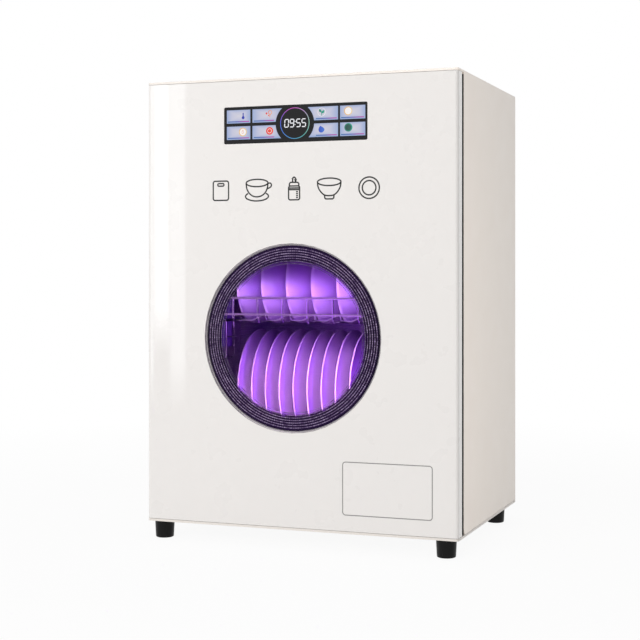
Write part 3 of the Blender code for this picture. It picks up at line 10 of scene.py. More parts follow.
import bmesh
import bpy
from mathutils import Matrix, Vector

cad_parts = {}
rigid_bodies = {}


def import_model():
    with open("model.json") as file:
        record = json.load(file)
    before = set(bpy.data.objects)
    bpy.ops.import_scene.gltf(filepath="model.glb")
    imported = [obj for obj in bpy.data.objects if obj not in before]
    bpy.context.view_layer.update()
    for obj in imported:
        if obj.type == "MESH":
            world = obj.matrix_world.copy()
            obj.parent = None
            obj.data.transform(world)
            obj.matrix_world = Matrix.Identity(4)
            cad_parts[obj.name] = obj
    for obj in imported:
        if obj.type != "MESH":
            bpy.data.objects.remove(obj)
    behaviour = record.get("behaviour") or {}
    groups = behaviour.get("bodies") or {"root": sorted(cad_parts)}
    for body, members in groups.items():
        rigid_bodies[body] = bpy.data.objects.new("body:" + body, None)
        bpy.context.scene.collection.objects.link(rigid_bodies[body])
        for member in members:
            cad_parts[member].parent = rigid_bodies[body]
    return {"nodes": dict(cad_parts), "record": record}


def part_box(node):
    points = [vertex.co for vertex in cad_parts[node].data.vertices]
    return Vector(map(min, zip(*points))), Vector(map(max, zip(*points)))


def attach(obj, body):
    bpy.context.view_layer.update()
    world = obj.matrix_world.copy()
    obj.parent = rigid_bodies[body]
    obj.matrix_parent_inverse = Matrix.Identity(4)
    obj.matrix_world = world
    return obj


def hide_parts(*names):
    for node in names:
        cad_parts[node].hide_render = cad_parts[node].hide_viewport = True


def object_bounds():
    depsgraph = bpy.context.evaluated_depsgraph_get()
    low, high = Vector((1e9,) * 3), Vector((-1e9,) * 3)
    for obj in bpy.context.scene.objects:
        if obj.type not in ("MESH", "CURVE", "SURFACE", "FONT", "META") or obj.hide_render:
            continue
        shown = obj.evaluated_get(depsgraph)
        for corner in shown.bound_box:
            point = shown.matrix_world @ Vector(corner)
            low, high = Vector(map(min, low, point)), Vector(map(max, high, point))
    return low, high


for startup_object in list(bpy.data.objects):
    bpy.data.objects.remove(startup_object)
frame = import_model()
cad_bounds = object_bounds()

NODES = frame["nodes"]
MM = 0.001

# The camera of the photograph: its place, its turn about Z, its lens and its shift towards the horizon
CAMERA_PLACE = (0.5575, -1.5559, 0.3024)
CAMERA_YAW = math.radians(20.46)
CAMERA_LENS = 79.48
CAMERA_SENSOR = 36
CAMERA_SHIFT = -0.0806

# Faces that meet at less than this are one smooth surface
CREASE = math.radians(38)
WELD = 1e-6

# How far the two faces of a print are from the surface that carries it
PRINT_NEAR = 0.00001
PRINT_FAR = 0.00006

PURE_WHITE = (1.0, 1.0, 1.0, 1.0)


# Materials


def feed(tree, socket, value):
    """Links a socket to another node's output, or sets its value."""
    if isinstance(value, bpy.types.NodeSocket):
        tree.links.new(value, socket)
    else:
        socket.default_value = value


def add_node(tree, kind, inputs=(), **attributes):
    """A shader node, with its inputs linked or set by their names or numbers."""
    made = tree.nodes.new(kind)
    for key, value in attributes.items():
        setattr(made, key, value)
    for key, value in dict(inputs).items():
        feed(tree, made.inputs[key], value)
    return made


def map_range(tree, value, low, high, from_low=0.0, from_high=1.0):
    """The value carried from one range over to another."""
    limits = {"From Min": from_low, "From Max": from_high, "To Min": low, "To Max": high}
    return add_node(tree, "ShaderNodeMapRange", {"Value": value, **limits}).outputs["Result"]


def shaded(colour, share):
    """The colour darkened or lightened by a share."""
    return tuple(min(1.0, channel * share) for channel in colour)


class Finish:
    """A material with one Principled shader, and nodes that feed it."""

    def __init__(self, name, colour, roughness, metallic=0.0, **sockets):
        self.colour = colour
        self.roughness = roughness
        self.material = bpy.data.materials.new(name)
        self.material.use_nodes = True
        self.tree = self.material.node_tree
        self.shader = self.tree.nodes["Principled BSDF"]
        self.put("Base Color", (*colour, 1))
        self.put("Roughness", roughness)
        self.put("Metallic", metallic)
        for socket, value in sockets.items():
            self.put(socket.replace("_", " ").title().replace("Ior", "IOR"), value)
        coordinates = self.node("ShaderNodeTexCoord").outputs
        self.place = coordinates["Object"]
        self.generated = coordinates["Generated"]

    def put(self, socket, value):
        """Sets a socket of the shader, or links it to another node's output."""
        feed(self.tree, self.shader.inputs[socket], value)

    def node(self, kind, inputs=(), **attributes):
        return add_node(self.tree, kind, inputs, **attributes)

    def scaled(self, scale, offset=(0, 0, 0)):
        """The object's coordinates, moved and then scaled."""
        moved = self.node("ShaderNodeVectorMath", {0: self.place, 1: offset}, operation="ADD").outputs[0]
        return self.node("ShaderNodeVectorMath", {0: moved, 1: scale}, operation="MULTIPLY").outputs[0]

    def noise(self, size, stretch=(1, 1, 1), detail=3):
        """Noise with features of about this size, from 0 to 1."""
        scale = tuple(axis / size for axis in stretch)
        made = self.node("ShaderNodeTexNoise", {"Vector": self.scaled(scale), "Scale": 1, "Detail": detail})
        return made.outputs["Fac"]

    def cells(self, size, output="Distance"):
        scale = (1 / size,) * 3
        return self.node("ShaderNodeTexVoronoi", {"Vector": self.scaled(scale), "Scale": 1}).outputs[output]

    def spread(self, value, low, high, from_low=0.3, from_high=0.7):
        return map_range(self.tree, value, low, high, from_low, from_high)

    def math(self, operation, first, second=0.0):
        return self.node("ShaderNodeMath", {0: first, 1: second}, operation=operation).outputs[0]

    def split(self, vector):
        """The X, Y and Z parts of a vector."""
        return self.node("ShaderNodeSeparateXYZ", {0: vector}).outputs

    def blend(self, share, first, second):
        """A colour between two colours."""
        made = self.node("ShaderNodeMix", {"Factor": share}, data_type="RGBA")
        for socket, value in ((6, first), (7, second)):
            feed(self.tree, made.inputs[socket], (*value, 1) if isinstance(value, tuple) else value)
        return made.outputs[2]

    def ramp(self, value, *stops):
        made = self.node("ShaderNodeValToRGB", {"Fac": value})
        points = made.color_ramp.elements
        while len(points) < len(stops):
            points.new(0.5)
        for point, (position, colour) in zip(points, stops):
            point.position = position
            point.color = (*colour, 1)
        return made.outputs["Color"]

    def vary_colour(self, pattern, darker, lighter):
        """Lets the base colour follow a pattern, from one share of itself to another."""
        self.put("Base Color", self.blend(pattern, shaded(self.colour, darker), shaded(self.colour, lighter)))

    def vary_gloss(self, pattern, smoother, rougher):
        """Lets the roughness follow a pattern, from one share of itself to another."""
        self.put("Roughness", self.spread(pattern, self.roughness * smoother, self.roughness * rougher))

    def bump(self, height, depth):
        made = self.node("ShaderNodeBump", {"Height": height, "Distance": depth, "Strength": 1.0})
        self.put("Normal", made.outputs["Normal"])

    def glow(self, colour, strength):
        self.put("Emission Color", colour)
        self.put("Emission Strength", strength)


def make_paint(name, colour, roughness, peel, depth, coat=0.0):
    """Sprayed paint: faint mottling, orange peel and a slightly uneven gloss."""
    finish = Finish(name, colour, roughness, coat_weight=coat, coat_roughness=0.03, specular_ior_level=0.3)
    finish.vary_colour(finish.noise(size=0.09), 0.997, 1.003)
    finish.vary_gloss(finish.noise(size=0.03), 0.85, 1.15)
    finish.bump(finish.noise(peel, detail=2), depth)
    return finish.material


def make_sheet_metal(name, colour, roughness, along):
    """Rolled or brushed sheet: streaks along one axis, and broad stains."""
    finish = Finish(name, colour, roughness, metallic=1.0)
    stretch = tuple(0.02 if axis == along else 1.0 for axis in range(3))
    streaks = finish.noise(size=0.0006, stretch=stretch, detail=4)
    finish.vary_colour(finish.noise(size=0.05), 0.93, 1.05)
    finish.vary_gloss(streaks, 0.75, 1.3)
    finish.bump(streaks, depth=0.000004)
    return finish.material


def make_zinc(name, colour):
    """Zinc-plated sheet: pale crystal patches in two shades."""
    finish = Finish(name, colour, roughness=0.42, metallic=1.0)
    patches = finish.cells(size=0.011, output="Color")
    grey = finish.node("ShaderNodeRGBToBW", {"Color": patches}).outputs[0]
    finish.vary_colour(grey, 0.9, 1.08)
    finish.put("Roughness", finish.spread(grey, low=0.36, high=0.5, from_low=0, from_high=1))
    finish.bump(finish.noise(size=0.0007), depth=0.000006)
    return finish.material


def make_moulding(name, colour, roughness, grain=0.0009, depth=0.00001, shine=0.5):
    """Moulded plastic or rubber with a fine grain."""
    finish = Finish(name, colour, roughness, specular_ior_level=shine)
    finish.vary_colour(finish.noise(size=0.02), 0.9, 1.1)
    finish.vary_gloss(finish.noise(size=0.006), 0.88, 1.12)
    finish.bump(finish.cells(grain), depth)
    return finish.material


def make_chrome(name, colour):
    finish = Finish(name, colour, roughness=0.1, metallic=1.0)
    finish.vary_colour(finish.noise(size=0.012), 0.94, 1.04)
    finish.vary_gloss(finish.noise(size=0.004), 0.7, 1.6)
    finish.bump(finish.noise(size=0.0012), depth=0.000003)
    return finish.material


def make_glaze(name, colour):
    """Glazed ware: a smooth clear coat that pools a little, over faint specks."""
    finish = Finish(name, colour, roughness=0.16, coat_weight=0.6, coat_roughness=0.03)
    specks = finish.spread(finish.noise(size=0.0016, detail=2), low=0, high=1, from_low=0.66, from_high=0.74)
    cloud = finish.blend(finish.noise(size=0.03), shaded(colour, 0.97), shaded(colour, 1.02))
    finish.put("Base Color", finish.blend(specks, cloud, shaded(colour, 0.9)))
    finish.vary_gloss(finish.noise(size=0.02), 0.75, 1.25)
    finish.bump(finish.noise(size=0.014, detail=1), depth=0.00008)
    return finish.material


def make_pane(name, tint):
    """Clear glass, tinted, with a faint reflection that grows at a glance."""
    finish = Finish(name, tint, roughness=0.03)
    clear = finish.node("ShaderNodeBsdfTransparent", {"Color": (*tint, 1)}).outputs[0]
    smear = finish.spread(finish.noise(size=0.03, detail=4), low=0.015, high=0.05)
    shine = finish.node("ShaderNodeBsdfGlossy", {"Color": PURE_WHITE, "Roughness": smear}).outputs[0]
    glance = finish.node("ShaderNodeFresnel", {"IOR": 1.05}).outputs[0]
    mixed = finish.node("ShaderNodeMixShader", {0: glance, 1: clear, 2: shine}).outputs[0]
    feed(finish.tree, finish.tree.nodes["Material Output"].inputs["Surface"], mixed)
    return finish.material


def make_black_glass(name):
    """Black display glass: near mirror, with wiped smears."""
    finish = Finish(name, (0.004, 0.004, 0.005), roughness=0.06, specular_ior_level=0.3)
    wiped = finish.noise(size=0.02, stretch=(1, 1, 0.3), detail=4)
    finish.put("Base Color", finish.blend(wiped, (0.003, 0.003, 0.004), (0.006, 0.006, 0.008)))
    finish.put("Roughness", finish.spread(wiped, low=0.04, high=0.12))
    return finish.material


def make_circuit_board(name):
    """Green solder mask, lighter over the tracks."""
    finish = Finish(name, (0.01, 0.16, 0.06), roughness=0.4)
    layout = {"Vector": finish.place, "Scale": 160, "Mortar Size": 0.08, "Mortar": (0.05, 0.30, 0.12, 1)}
    masks = {"Color1": (0.008, 0.12, 0.045, 1), "Color2": (0.012, 0.17, 0.06, 1)}
    tracks = finish.node("ShaderNodeTexBrick", {**layout, **masks})
    finish.put("Base Color", tracks.outputs["Color"])
    finish.vary_gloss(finish.noise(size=0.004), 0.75, 1.25)
    finish.bump(tracks.outputs["Fac"], depth=0.00003)
    return finish.material


def screen_finish(name):
    """The dark unlit ground of everything that the display shows."""
    return Finish(name, (0.01, 0.01, 0.012), roughness=0.12)


def make_lit(name, strength, *stops):
    """A lit area of the display: colours that run from left to right, with a fine pixel grid."""
    finish = screen_finish(name)
    colour = finish.ramp(finish.split(finish.generated)[0], *stops)
    pixels = finish.spread(finish.cells(size=0.0005), low=0.0, high=0.12, from_low=0, from_high=1)
    finish.glow(finish.blend(pixels, colour, (0, 0, 0)), strength)
    return finish.material


def make_tile(name, strength):
    """A menu tile: pale lavender in the middle, and bluer at its edges."""
    finish = screen_finish(name)
    parts = finish.split(finish.generated)
    off_x = finish.math("ABSOLUTE", finish.math("SUBTRACT", parts[0], 0.5))
    off_z = finish.math("ABSOLUTE", finish.math("SUBTRACT", parts[2], 0.55))
    ripple = finish.math("MULTIPLY", finish.noise(size=0.008), 0.1)
    colour = finish.ramp(
        finish.math("ADD", finish.math("MAXIMUM", off_x, off_z), ripple),
        (0.0, (0.93, 0.91, 1.0)),
        (0.3, (0.78, 0.79, 1.0)),
        (0.58, (0.42, 0.56, 0.93)),
    )
    finish.glow(colour, strength)
    return finish.material


def make_lamp(name, colour, strength):
    """The lit tube: a violet glow that is a little uneven along the tube."""
    finish = Finish(name, (0.5, 0.45, 0.6), roughness=0.08)
    flicker = finish.noise(size=0.012, stretch=(1, 1, 0.4))
    finish.glow(finish.blend(flicker, colour, shaded(colour, 0.85)), strength)
    return finish.material


def make_ink(name, colour):
    finish = Finish(name, colour, roughness=0.35)
    finish.vary_colour(finish.noise(size=0.0012), 0.85, 1.2)
    finish.vary_gloss(finish.noise(size=0.004), 0.8, 1.2)
    return finish.material


# Partly painted light: the shell's white is a little warmer than the door's, standing in for some of the warm
# light on the cabinet's side
SHELL_PAINT_WARM_LIT = (0.83, 0.780, 0.728)
DOOR_WHITE = (0.84, 0.81, 0.785)
MATERIALS = {
    "white_paint": make_paint("powder_coat", SHELL_PAINT_WARM_LIT, roughness=0.34, peel=0.0012, depth=0.00003),
    "white_door": make_paint("door_gloss", DOOR_WHITE, roughness=0.3, peel=0.006, depth=0.00001, coat=1.0),
    "zinc_sheet": make_zinc("zinc", (0.62, 0.63, 0.65)),
    "grey_frame": make_moulding("frame_moulding", (0.10, 0.098, 0.095), roughness=0.5),
    "liner_steel": make_sheet_metal("liner_sheet", (0.50, 0.50, 0.52), roughness=0.3, along=0),
    "rack_wire": make_chrome("plated_wire", (0.80, 0.80, 0.83)),
    "black_plastic": make_moulding("black_moulding", (0.012, 0.012, 0.013), roughness=0.4),
    "black_rubber": make_moulding("foot_rubber", (0.003, 0.003, 0.003), 0.35, grain=0.0007, shine=0.16),
    "grey_rubber": make_moulding("seal_rubber", (0.035, 0.032, 0.03), 0.62, grain=0.0008, depth=0.00002),
    "window_glass": make_pane("clear_pane", (0.97, 0.955, 0.98)),
    "display_glass": make_black_glass("black_display_glass"),
    "lamp_glass": make_lamp("lit_tube", (0.25, 0.05, 0.85), strength=0.16),
    "glaze": make_glaze("white_glaze", (0.70, 0.66, 0.72)),
    "board": make_circuit_board("solder_mask"),
    "bronze": make_sheet_metal("sintered_bronze", (0.50, 0.34, 0.15), roughness=0.4, along=2),
}

# Materials of single pieces, which keep the slot of what they are on
VIOLET_PANE = make_pane("violet_pane", (0.78, 0.545, 0.94))
INK = make_ink("print_ink", (0.012, 0.012, 0.012))
PALE_INK = make_ink("pale_print_ink", (0.24, 0.235, 0.225))
WHITE_INK = make_ink("white_print_ink", DOOR_WHITE)

SIDES = ("left", "right")
FEET = [f"foot_{end}_{side}" for end in ("front", "rear") for side in SIDES]
RAILS = [f"{rack}_rail_{side}" for rack in ("upper", "lower") for side in SIDES]

# Each node's material slot, as in the record
SLOT_NODES = {
    "white_paint": ("outer_shell", "base_plate"),
    "white_door": ("door_panel",),
    "zinc_sheet": ("rear_panel", "hinge_pin_top", "hinge_pin_bottom", "lamp_ballast", "strike_plate"),
    "grey_frame": ("front_frame", "door_back_panel"),
    "liner_steel": ("liner_shell", *RAILS, "heater_block", "drip_tray"),
    "rack_wire": ("upper_rack", "lower_rack", "lamp_guard"),
    "black_plastic": ("fan_housing", "fan_rotor", "display_module", "door_sensor", "magnet_catch"),
    "black_rubber": ("cord_gland", "window_seal", *FEET),
    "grey_rubber": ("door_gasket",),
    "window_glass": ("window_pane", "window_inner_pane"),
    "display_glass": ("display_glass",),
    "lamp_glass": ("uv_lamp_tube",),
    "glaze": ("lamp_holder_bottom", "lamp_holder_top"),
    "board": ("control_board",),
    "bronze": ("hinge_bush_top", "hinge_bush_bottom"),
}


def body_of(node):
    for body, members in frame["record"]["behaviour"]["bodies"].items():
        if node in members:
            return body
    raise ValueError(node)


# Mesh helpers


def add_object(name, data):
    made = bpy.data.objects.new(name, data)
    bpy.context.scene.collection.objects.link(made)
    return made


def add_piece(name, bm, body, slot, replaced=(), material=None, crease=CREASE):
    """Makes a piece from a bmesh, smooth between creases, and hangs it on its body."""
    bmesh.ops.remove_doubles(bm, verts=bm.verts, dist=WELD)
    bmesh.ops.recalc_face_normals(bm, faces=bm.faces)
    for edge in bm.edges:
        edge.smooth = edge.calc_face_angle(math.pi) < crease
    for face in bm.faces:
        face.smooth = True
    mesh = bpy.data.meshes.new(name)
    bm.to_mesh(mesh)
    bm.free()
    mesh.materials.append(material or MATERIALS[slot])
    piece = add_object(name, mesh)
    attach(piece, body)
    if replaced:
        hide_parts(*replaced)
    return piece


def smooth_twin(node, slot):
    """A piece with the node's own shape, its split corners joined so that round edges shade smoothly."""
    bm = bmesh.new()
    bm.from_mesh(NODES[node].data)
    for layer in list(bm.loops.layers.float_vector) + list(bm.loops.layers.uv):
        if layer.name.startswith("custom_normal"):
            bm.loops.layers.float_vector.remove(layer)
    piece = add_piece(node + "_smooth", bm, body_of(node), slot, (node,))

    # The large flat faces set the shading, so that a small round edge turns from one to the next
    weighted = piece.modifiers.new("weighted", "WEIGHTED_NORMAL")
    weighted.keep_sharp = True
    weighted.mode = "FACE_AREA"


def revolve(bm, profile, place, steps, closed=True):
    """Turns a profile of (radius, height) points round an axis. place maps (u, v, height) to a point."""
    rings = []
    for i in range(steps):
        angle = 2 * math.pi * i / steps
        points = [place(r * math.cos(angle), r * math.sin(angle), h) for r, h in profile]
        rings.append([bm.verts.new(point) for point in points])
    count = len(profile)
    for i in range(steps):
        here, there = rings[i], rings[(i + 1) % steps]
        for j in range(count if closed else count - 1):
            k = (j + 1) % count
            corners = [here[j], there[j], there[k], here[k]]
            if profile[j][0] < WELD:
                corners.remove(there[j])
            if profile[k][0] < WELD:
                corners.remove(there[k])
            if len(corners) > 2:
                bm.faces.new(corners)


def upright_size(node):
    """Radius and height of a round upright node."""
    low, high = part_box(node)
    return (high.x - low.x) / 2, high.z - low.z


def lathe_upright(name, node, profile, steps, slot):
    """A piece of the cabinet turned round a node's upright axis, which takes the node's place."""
    low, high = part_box(node)
    middle = (low + high) / 2
    bm = bmesh.new()
    revolve(bm, profile, lambda u, v, h: (middle.x + u, middle.y + v, low.z + h), steps, closed=False)
    add_piece(name, bm, "cabinet", slot, (node,))


def arc(centre, radii, start, end, count):
    """Points on an ellipse from one angle to another, in degrees."""
    points = []
    for i in range(count + 1):
        angle = math.radians(start + (end - start) * i / count)
        points.append((centre[0] + radii[0] * math.cos(angle), centre[1] + radii[1] * math.sin(angle)))
    return points


def ring_of(centre, radii, count=40):
    return arc(centre, radii, 0, 360, count)[:-1]


def disc(centre, radius, count):
    return ring_of(centre, (radius, radius), count)


def rounded(low, high, radius, count=6):
    """A rectangle with round corners."""
    points = []
    for x, z, start in (
        (high[0] - radius, high[1] - radius, 0),
        (low[0] + radius, high[1] - radius, 90),
        (low[0] + radius, low[1] + radius, 180),
        (high[0] - radius, low[1] + radius, 270),
    ):
        points += arc((x, z), (radius, radius), start, start + 90, count)
    return points


def on_spline(before, start, end, after, share):
    """A value this share of the way from start to end, on a Catmull-Rom curve through four values."""
    slope = end - before
    bend = 2 * before - 5 * start + 4 * end - after
    twist = 3 * start - before - 3 * end + after
    return (2 * start + slope * share + bend * share**2 + twist * share**3) / 2


def curve_through(points, count=6):
    """A smooth line through points, with this many steps from each to the next."""
    ends = [points[0], *points, points[-1]]
    made = []
    for stretch in zip(ends, ends[1:], ends[2:], ends[3:]):
        for i in range(count):
            made.append(tuple(on_spline(*values, i / count) for values in zip(*stretch)))
    made.append(points[-1])
    return made


def curve_round(centre, offsets, count):
    """A smooth line through offsets from a centre, and back to the first."""
    return curve_through([(centre[0] + x, centre[1] + z) for x, z in (*offsets, offsets[0])], count)


def plate_between(bm, front, back):
    """A closed plate between two outlines that have the same number of points."""
    sides = [[bm.verts.new(point) for point in outline] for outline in (front, back)]
    bm.faces.new(sides[0])
    bm.faces.new(sides[1][::-1])
    for i in range(len(front)):
        j = (i + 1) % len(front)
        bm.faces.new((sides[0][i], sides[1][i], sides[1][j], sides[0][j]))


CASE_LEFT = cad_bounds[0][0]
CASE_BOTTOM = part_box("base_plate")[0].z
DOOR_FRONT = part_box("door_panel")[0].y

# A stroke's mitre is worked out from a cosine no less than this, so that sharp corners don't run out
LEAST_MITRE = 0.5


def door_layer(far, near):
    """The front and back of a film on the door, from how far they are in front of it."""
    return DOOR_FRONT - far, DOOR_FRONT - near


def on_door(point, y):
    """A point of a drawing on the door, as a place."""
    return (CASE_LEFT + point[0] * MM, y, CASE_BOTTOM + point[1] * MM)


def film(bm, outline, layer):
    """A thin closed plate with this outline, parallel to the door."""
    front, back = ([on_door(point, y) for point in outline] for y in layer)
    plate_between(bm, front, back)


def left_of(way):
    return Vector((-way.y, way.x))


def stroke(bm, path, width, layer, closed=False):
    """A thin closed ribbon along a path, parallel to the door."""
    front, back = layer
    count = len(path)
    path = [Vector(point) for point in path]
    rows = []
    for i, point in enumerate(path):
        ways = []
        if closed or i > 0:
            ways.append((point - path[i - 1]).normalized())
        if closed or i < count - 1:
            ways.append((path[(i + 1) % count] - point).normalized())
        across = left_of(sum(ways, Vector((0, 0))).normalized())
        reach = width / 2 / max(LEAST_MITRE, across.dot(left_of(ways[0])))
        left, right = point + across * reach, point - across * reach
        corners = ((left, front), (right, front), (right, back), (left, back))
        rows.append([bm.verts.new(on_door(corner, y)) for corner, y in corners])
    for i in range(count if closed else count - 1):
        here, there = rows[i], rows[(i + 1) % count]
        for a, b in ((0, 1), (1, 2), (2, 3), (3, 0)):
            bm.faces.new((here[a], here[b], there[b], there[a]))
    if not closed:
        bm.faces.new(rows[0])
        bm.faces.new(rows[-1][::-1])


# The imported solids, with their finishes

PLAIN_NODES = (
    *("rear_panel", "lamp_ballast", "strike_plate", "door_back_panel", "heater_block", "display_module"),
    *("door_sensor", "magnet_catch", "display_glass", "control_board", *RAILS),
)
LATHED_NODES = (*FEET, "uv_lamp_tube")

for slot, nodes in SLOT_NODES.items():
    for node in nodes:
        if node in PLAIN_NODES:
            mesh = NODES[node].data
            mesh.materials.clear()
            mesh.materials.append(MATERIALS[slot])
        elif node not in LATHED_NODES:
            smooth_twin(node, slot)

bpy.data.objects["window_inner_pane_smooth"].data.materials[0] = VIOLET_PANE

# Dark strips in the gap behind the door: painted shade, where the gap lies in shadow

STRIP_INNER = 0.1729
STRIP_OUTER = 0.1797
STRIP_DEPTH = 0.00028
STRIP_OFF_FRAME = 0.0015
STRIP_END = 0.0015
STRIP_ROUND = 0.00008


def make_gap_shade_strips():
    """A thin dark strip on each front edge of the shell's sides: painted shade for the gap behind the door."""
    low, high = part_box("door_panel")
    middle_x = (STRIP_INNER + STRIP_OUTER) / 2
    middle_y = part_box("front_frame")[0].y - STRIP_OFF_FRAME - STRIP_DEPTH / 2
    size = (STRIP_OUTER - STRIP_INNER, STRIP_DEPTH, high.z - low.z - 2 * STRIP_END)
    for side, word in ((-1, "left"), (1, "right")):
        bm = bmesh.new()
        bmesh.ops.create_cube(bm, size=1)
        bmesh.ops.scale(bm, vec=size, verts=bm.verts)
        bmesh.ops.bevel(bm, geom=bm.edges[:], offset=STRIP_ROUND, segments=2, profile=0.5, affect="EDGES")
        bmesh.ops.translate(bm, vec=(side * middle_x, middle_y, (low.z + high.z) / 2), verts=bm.verts)
        add_piece(f"gap_shade_strip_{word}", bm, "cabinet", "black_rubber")


make_gap_shade_strips()

# Feet

FOOT_TAPER = 0.92
FOOT_EDGE = 0.0016
FOOT_CHAMFER = 0.0004
FOOT_STEPS = 64
SOLE_DEPTH = 0.0008
SOLE_EDGE = 0.55
SOLE_FLOOR = 0.5


def make_foot(node):
    """A round tapered rubber foot with a soft lower edge and a dished sole."""
    radius, height = upright_size(node)
    base = radius * FOOT_TAPER
    profile = [(0, height), (radius - FOOT_CHAMFER, height), (radius, height - FOOT_CHAMFER)]
    profile += arc((base - FOOT_EDGE, FOOT_EDGE), (FOOT_EDGE, FOOT_EDGE), 0, -90, 6)
    profile += [(base * SOLE_EDGE, 0), (base * SOLE_FLOOR, SOLE_DEPTH), (0, SOLE_DEPTH)]
    lathe_upright(node + "_lathed", node, profile, FOOT_STEPS, "black_rubber")


for node in FEET:
    make_foot(node)

# Lamp

LAMP_STEPS = 40
LAMP_DOME = 0.5


def make_lamp_tube():
    """The glass tube, with shallow domes for ends."""
    radius, height = upright_size("uv_lamp_tube")
    dome = radius * LAMP_DOME
    end = arc((0, dome), (radius, dome), -90, 0, 6)
    profile = end + [(r, height - h) for r, h in reversed(end)]
    lathe_upright("lamp_tube_glass", "uv_lamp_tube", profile, LAMP_STEPS, "lamp_glass")


make_lamp_tube()

# Dishes. A wall runs from the rim to the foot along a curve with two powers, bend and flare

Dish = namedtuple("Dish", "rack body foot_radius foot_height wall bend flare rim_band", defaults=(0,))
BOWL = Dish("upper_rack", body=0.038, foot_radius=0.020, foot_height=0.004, wall=0.0026, bend=2, flare=2)
PLATE = Dish("lower_rack", 0.0135, 0.037, foot_height=0, wall=0.0024, bend=1, flare=1.5, rim_band=0.002)
BOWLS = [f"bowl_{i}" for i in range(1, 6)]
PLATES = [f"plate_{i}" for i in range(1, 10)]
DISH_CREASE = math.radians(60)
DISH_STEPS = 96
WALL_STEPS = 14
RIM_STEPS = 4

# The ring under a bowl: its wall, as a share of the bowl's, and how far its edges slope and are broken
FOOT_RING_WALL = 1.1
FOOT_RING_SLOPE = 0.0006
FOOT_RING_SOLE = 0.0016
FOOT_RING_EDGE = 0.0008
FOOT_RING_ROOT = 0.0012


def dish_wall(dish, radius, inset):
    """Points of a dish's wall from its rim to its foot, some way inside its outer face: (radius, depth)."""
    body = dish.body - inset
    foot = dish.foot_radius - inset
    points = []
    for i in range(WALL_STEPS + 1):
        depth = body * math.sin(math.pi / 2 * i / WALL_STEPS)
        share = max(1 - (depth / body) ** dish.bend, 0) ** (1 / dish.flare)
        points.append((foot + (radius - inset - foot) * share, depth))
    return points


def foot_ring(dish):
    sole = dish.body + dish.foot_height
    outer = dish.foot_radius
    inner = outer - dish.wall * FOOT_RING_WALL
    return [
        (outer - FOOT_RING_SLOPE, sole - FOOT_RING_EDGE),
        (outer - FOOT_RING_SOLE, sole),
        (inner, sole),
        (inner - FOOT_RING_EDGE, sole - FOOT_RING_EDGE),
        (inner - FOOT_RING_ROOT, dish.body),
    ]


def make_dish(node, dish):
    """A dish on its edge: its rim faces -X, and its wall is turned round the X axis."""
    low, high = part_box(node)
    middle = (low + high) / 2
    radius = (high.z - low.z) / 2
    half = dish.wall / 2
    inside = [point for point in dish_wall(dish, radius, dish.wall) if point[1] > half]
    outside = [point for point in dish_wall(dish, radius, 0) if point[1] > max(half, dish.rim_band)]
    profile = [(0, dish.body - dish.wall), *reversed(inside)]
    profile += arc((radius - half, half), (half, half), -150, -30, RIM_STEPS)
    if dish.rim_band:
        profile.append((radius, dish.rim_band))
    profile += outside
    if dish.foot_height:
        profile += foot_ring(dish)
    profile.append((0, dish.body))
    bm = bmesh.new()
    revolve(bm, profile, lambda u, v, h: (low.x + h, middle.y + u, middle.z + v), DISH_STEPS, closed=False)
    add_piece(node + "_ware", bm, dish.rack, "glaze", (node,), crease=DISH_CREASE)


for node in BOWLS:
    make_dish(node, BOWL)
for node in PLATES:
    make_dish(node, PLATE)

# The window's printed ring: its radii in millimetres, then its dotted lines and its ticks

RING_INNER = 80.7
RING_CLEAR = 82.3
RING_SOLID = 87.6
RING_OUTER = 100.6
RING_TICK_OUTER = 102.0
RING_EDGE_BAND = 1.3
RING_LINE_START = 80.75
RING_LINE_PITCH = 2.7
RING_LINE_SHARE = 0.33
RING_THIN_SHARE = 0.2
RING_DOTS = 230
RING_TICKS = 500
RING_TICK_SHARE = 0.7
RING_TICK_TAPER = 0.6
RING_STEPS = 192

# The white print round the ring and behind it, and the gap that keeps it and the ticks off the ring
BORDER_NEAR = 0.00008
BORDER_FAR = 0.00014
BORDER_INSET = 0.0001
PRINT_GAP = 0.00003

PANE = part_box("window_pane")
WINDOW_X = (PANE[0].x + PANE[1].x) / 2
WINDOW_Z = (PANE[0].z + PANE[1].z) / 2
WINDOW_RADIUS = (PANE[1].x - PANE[0].x) / 2


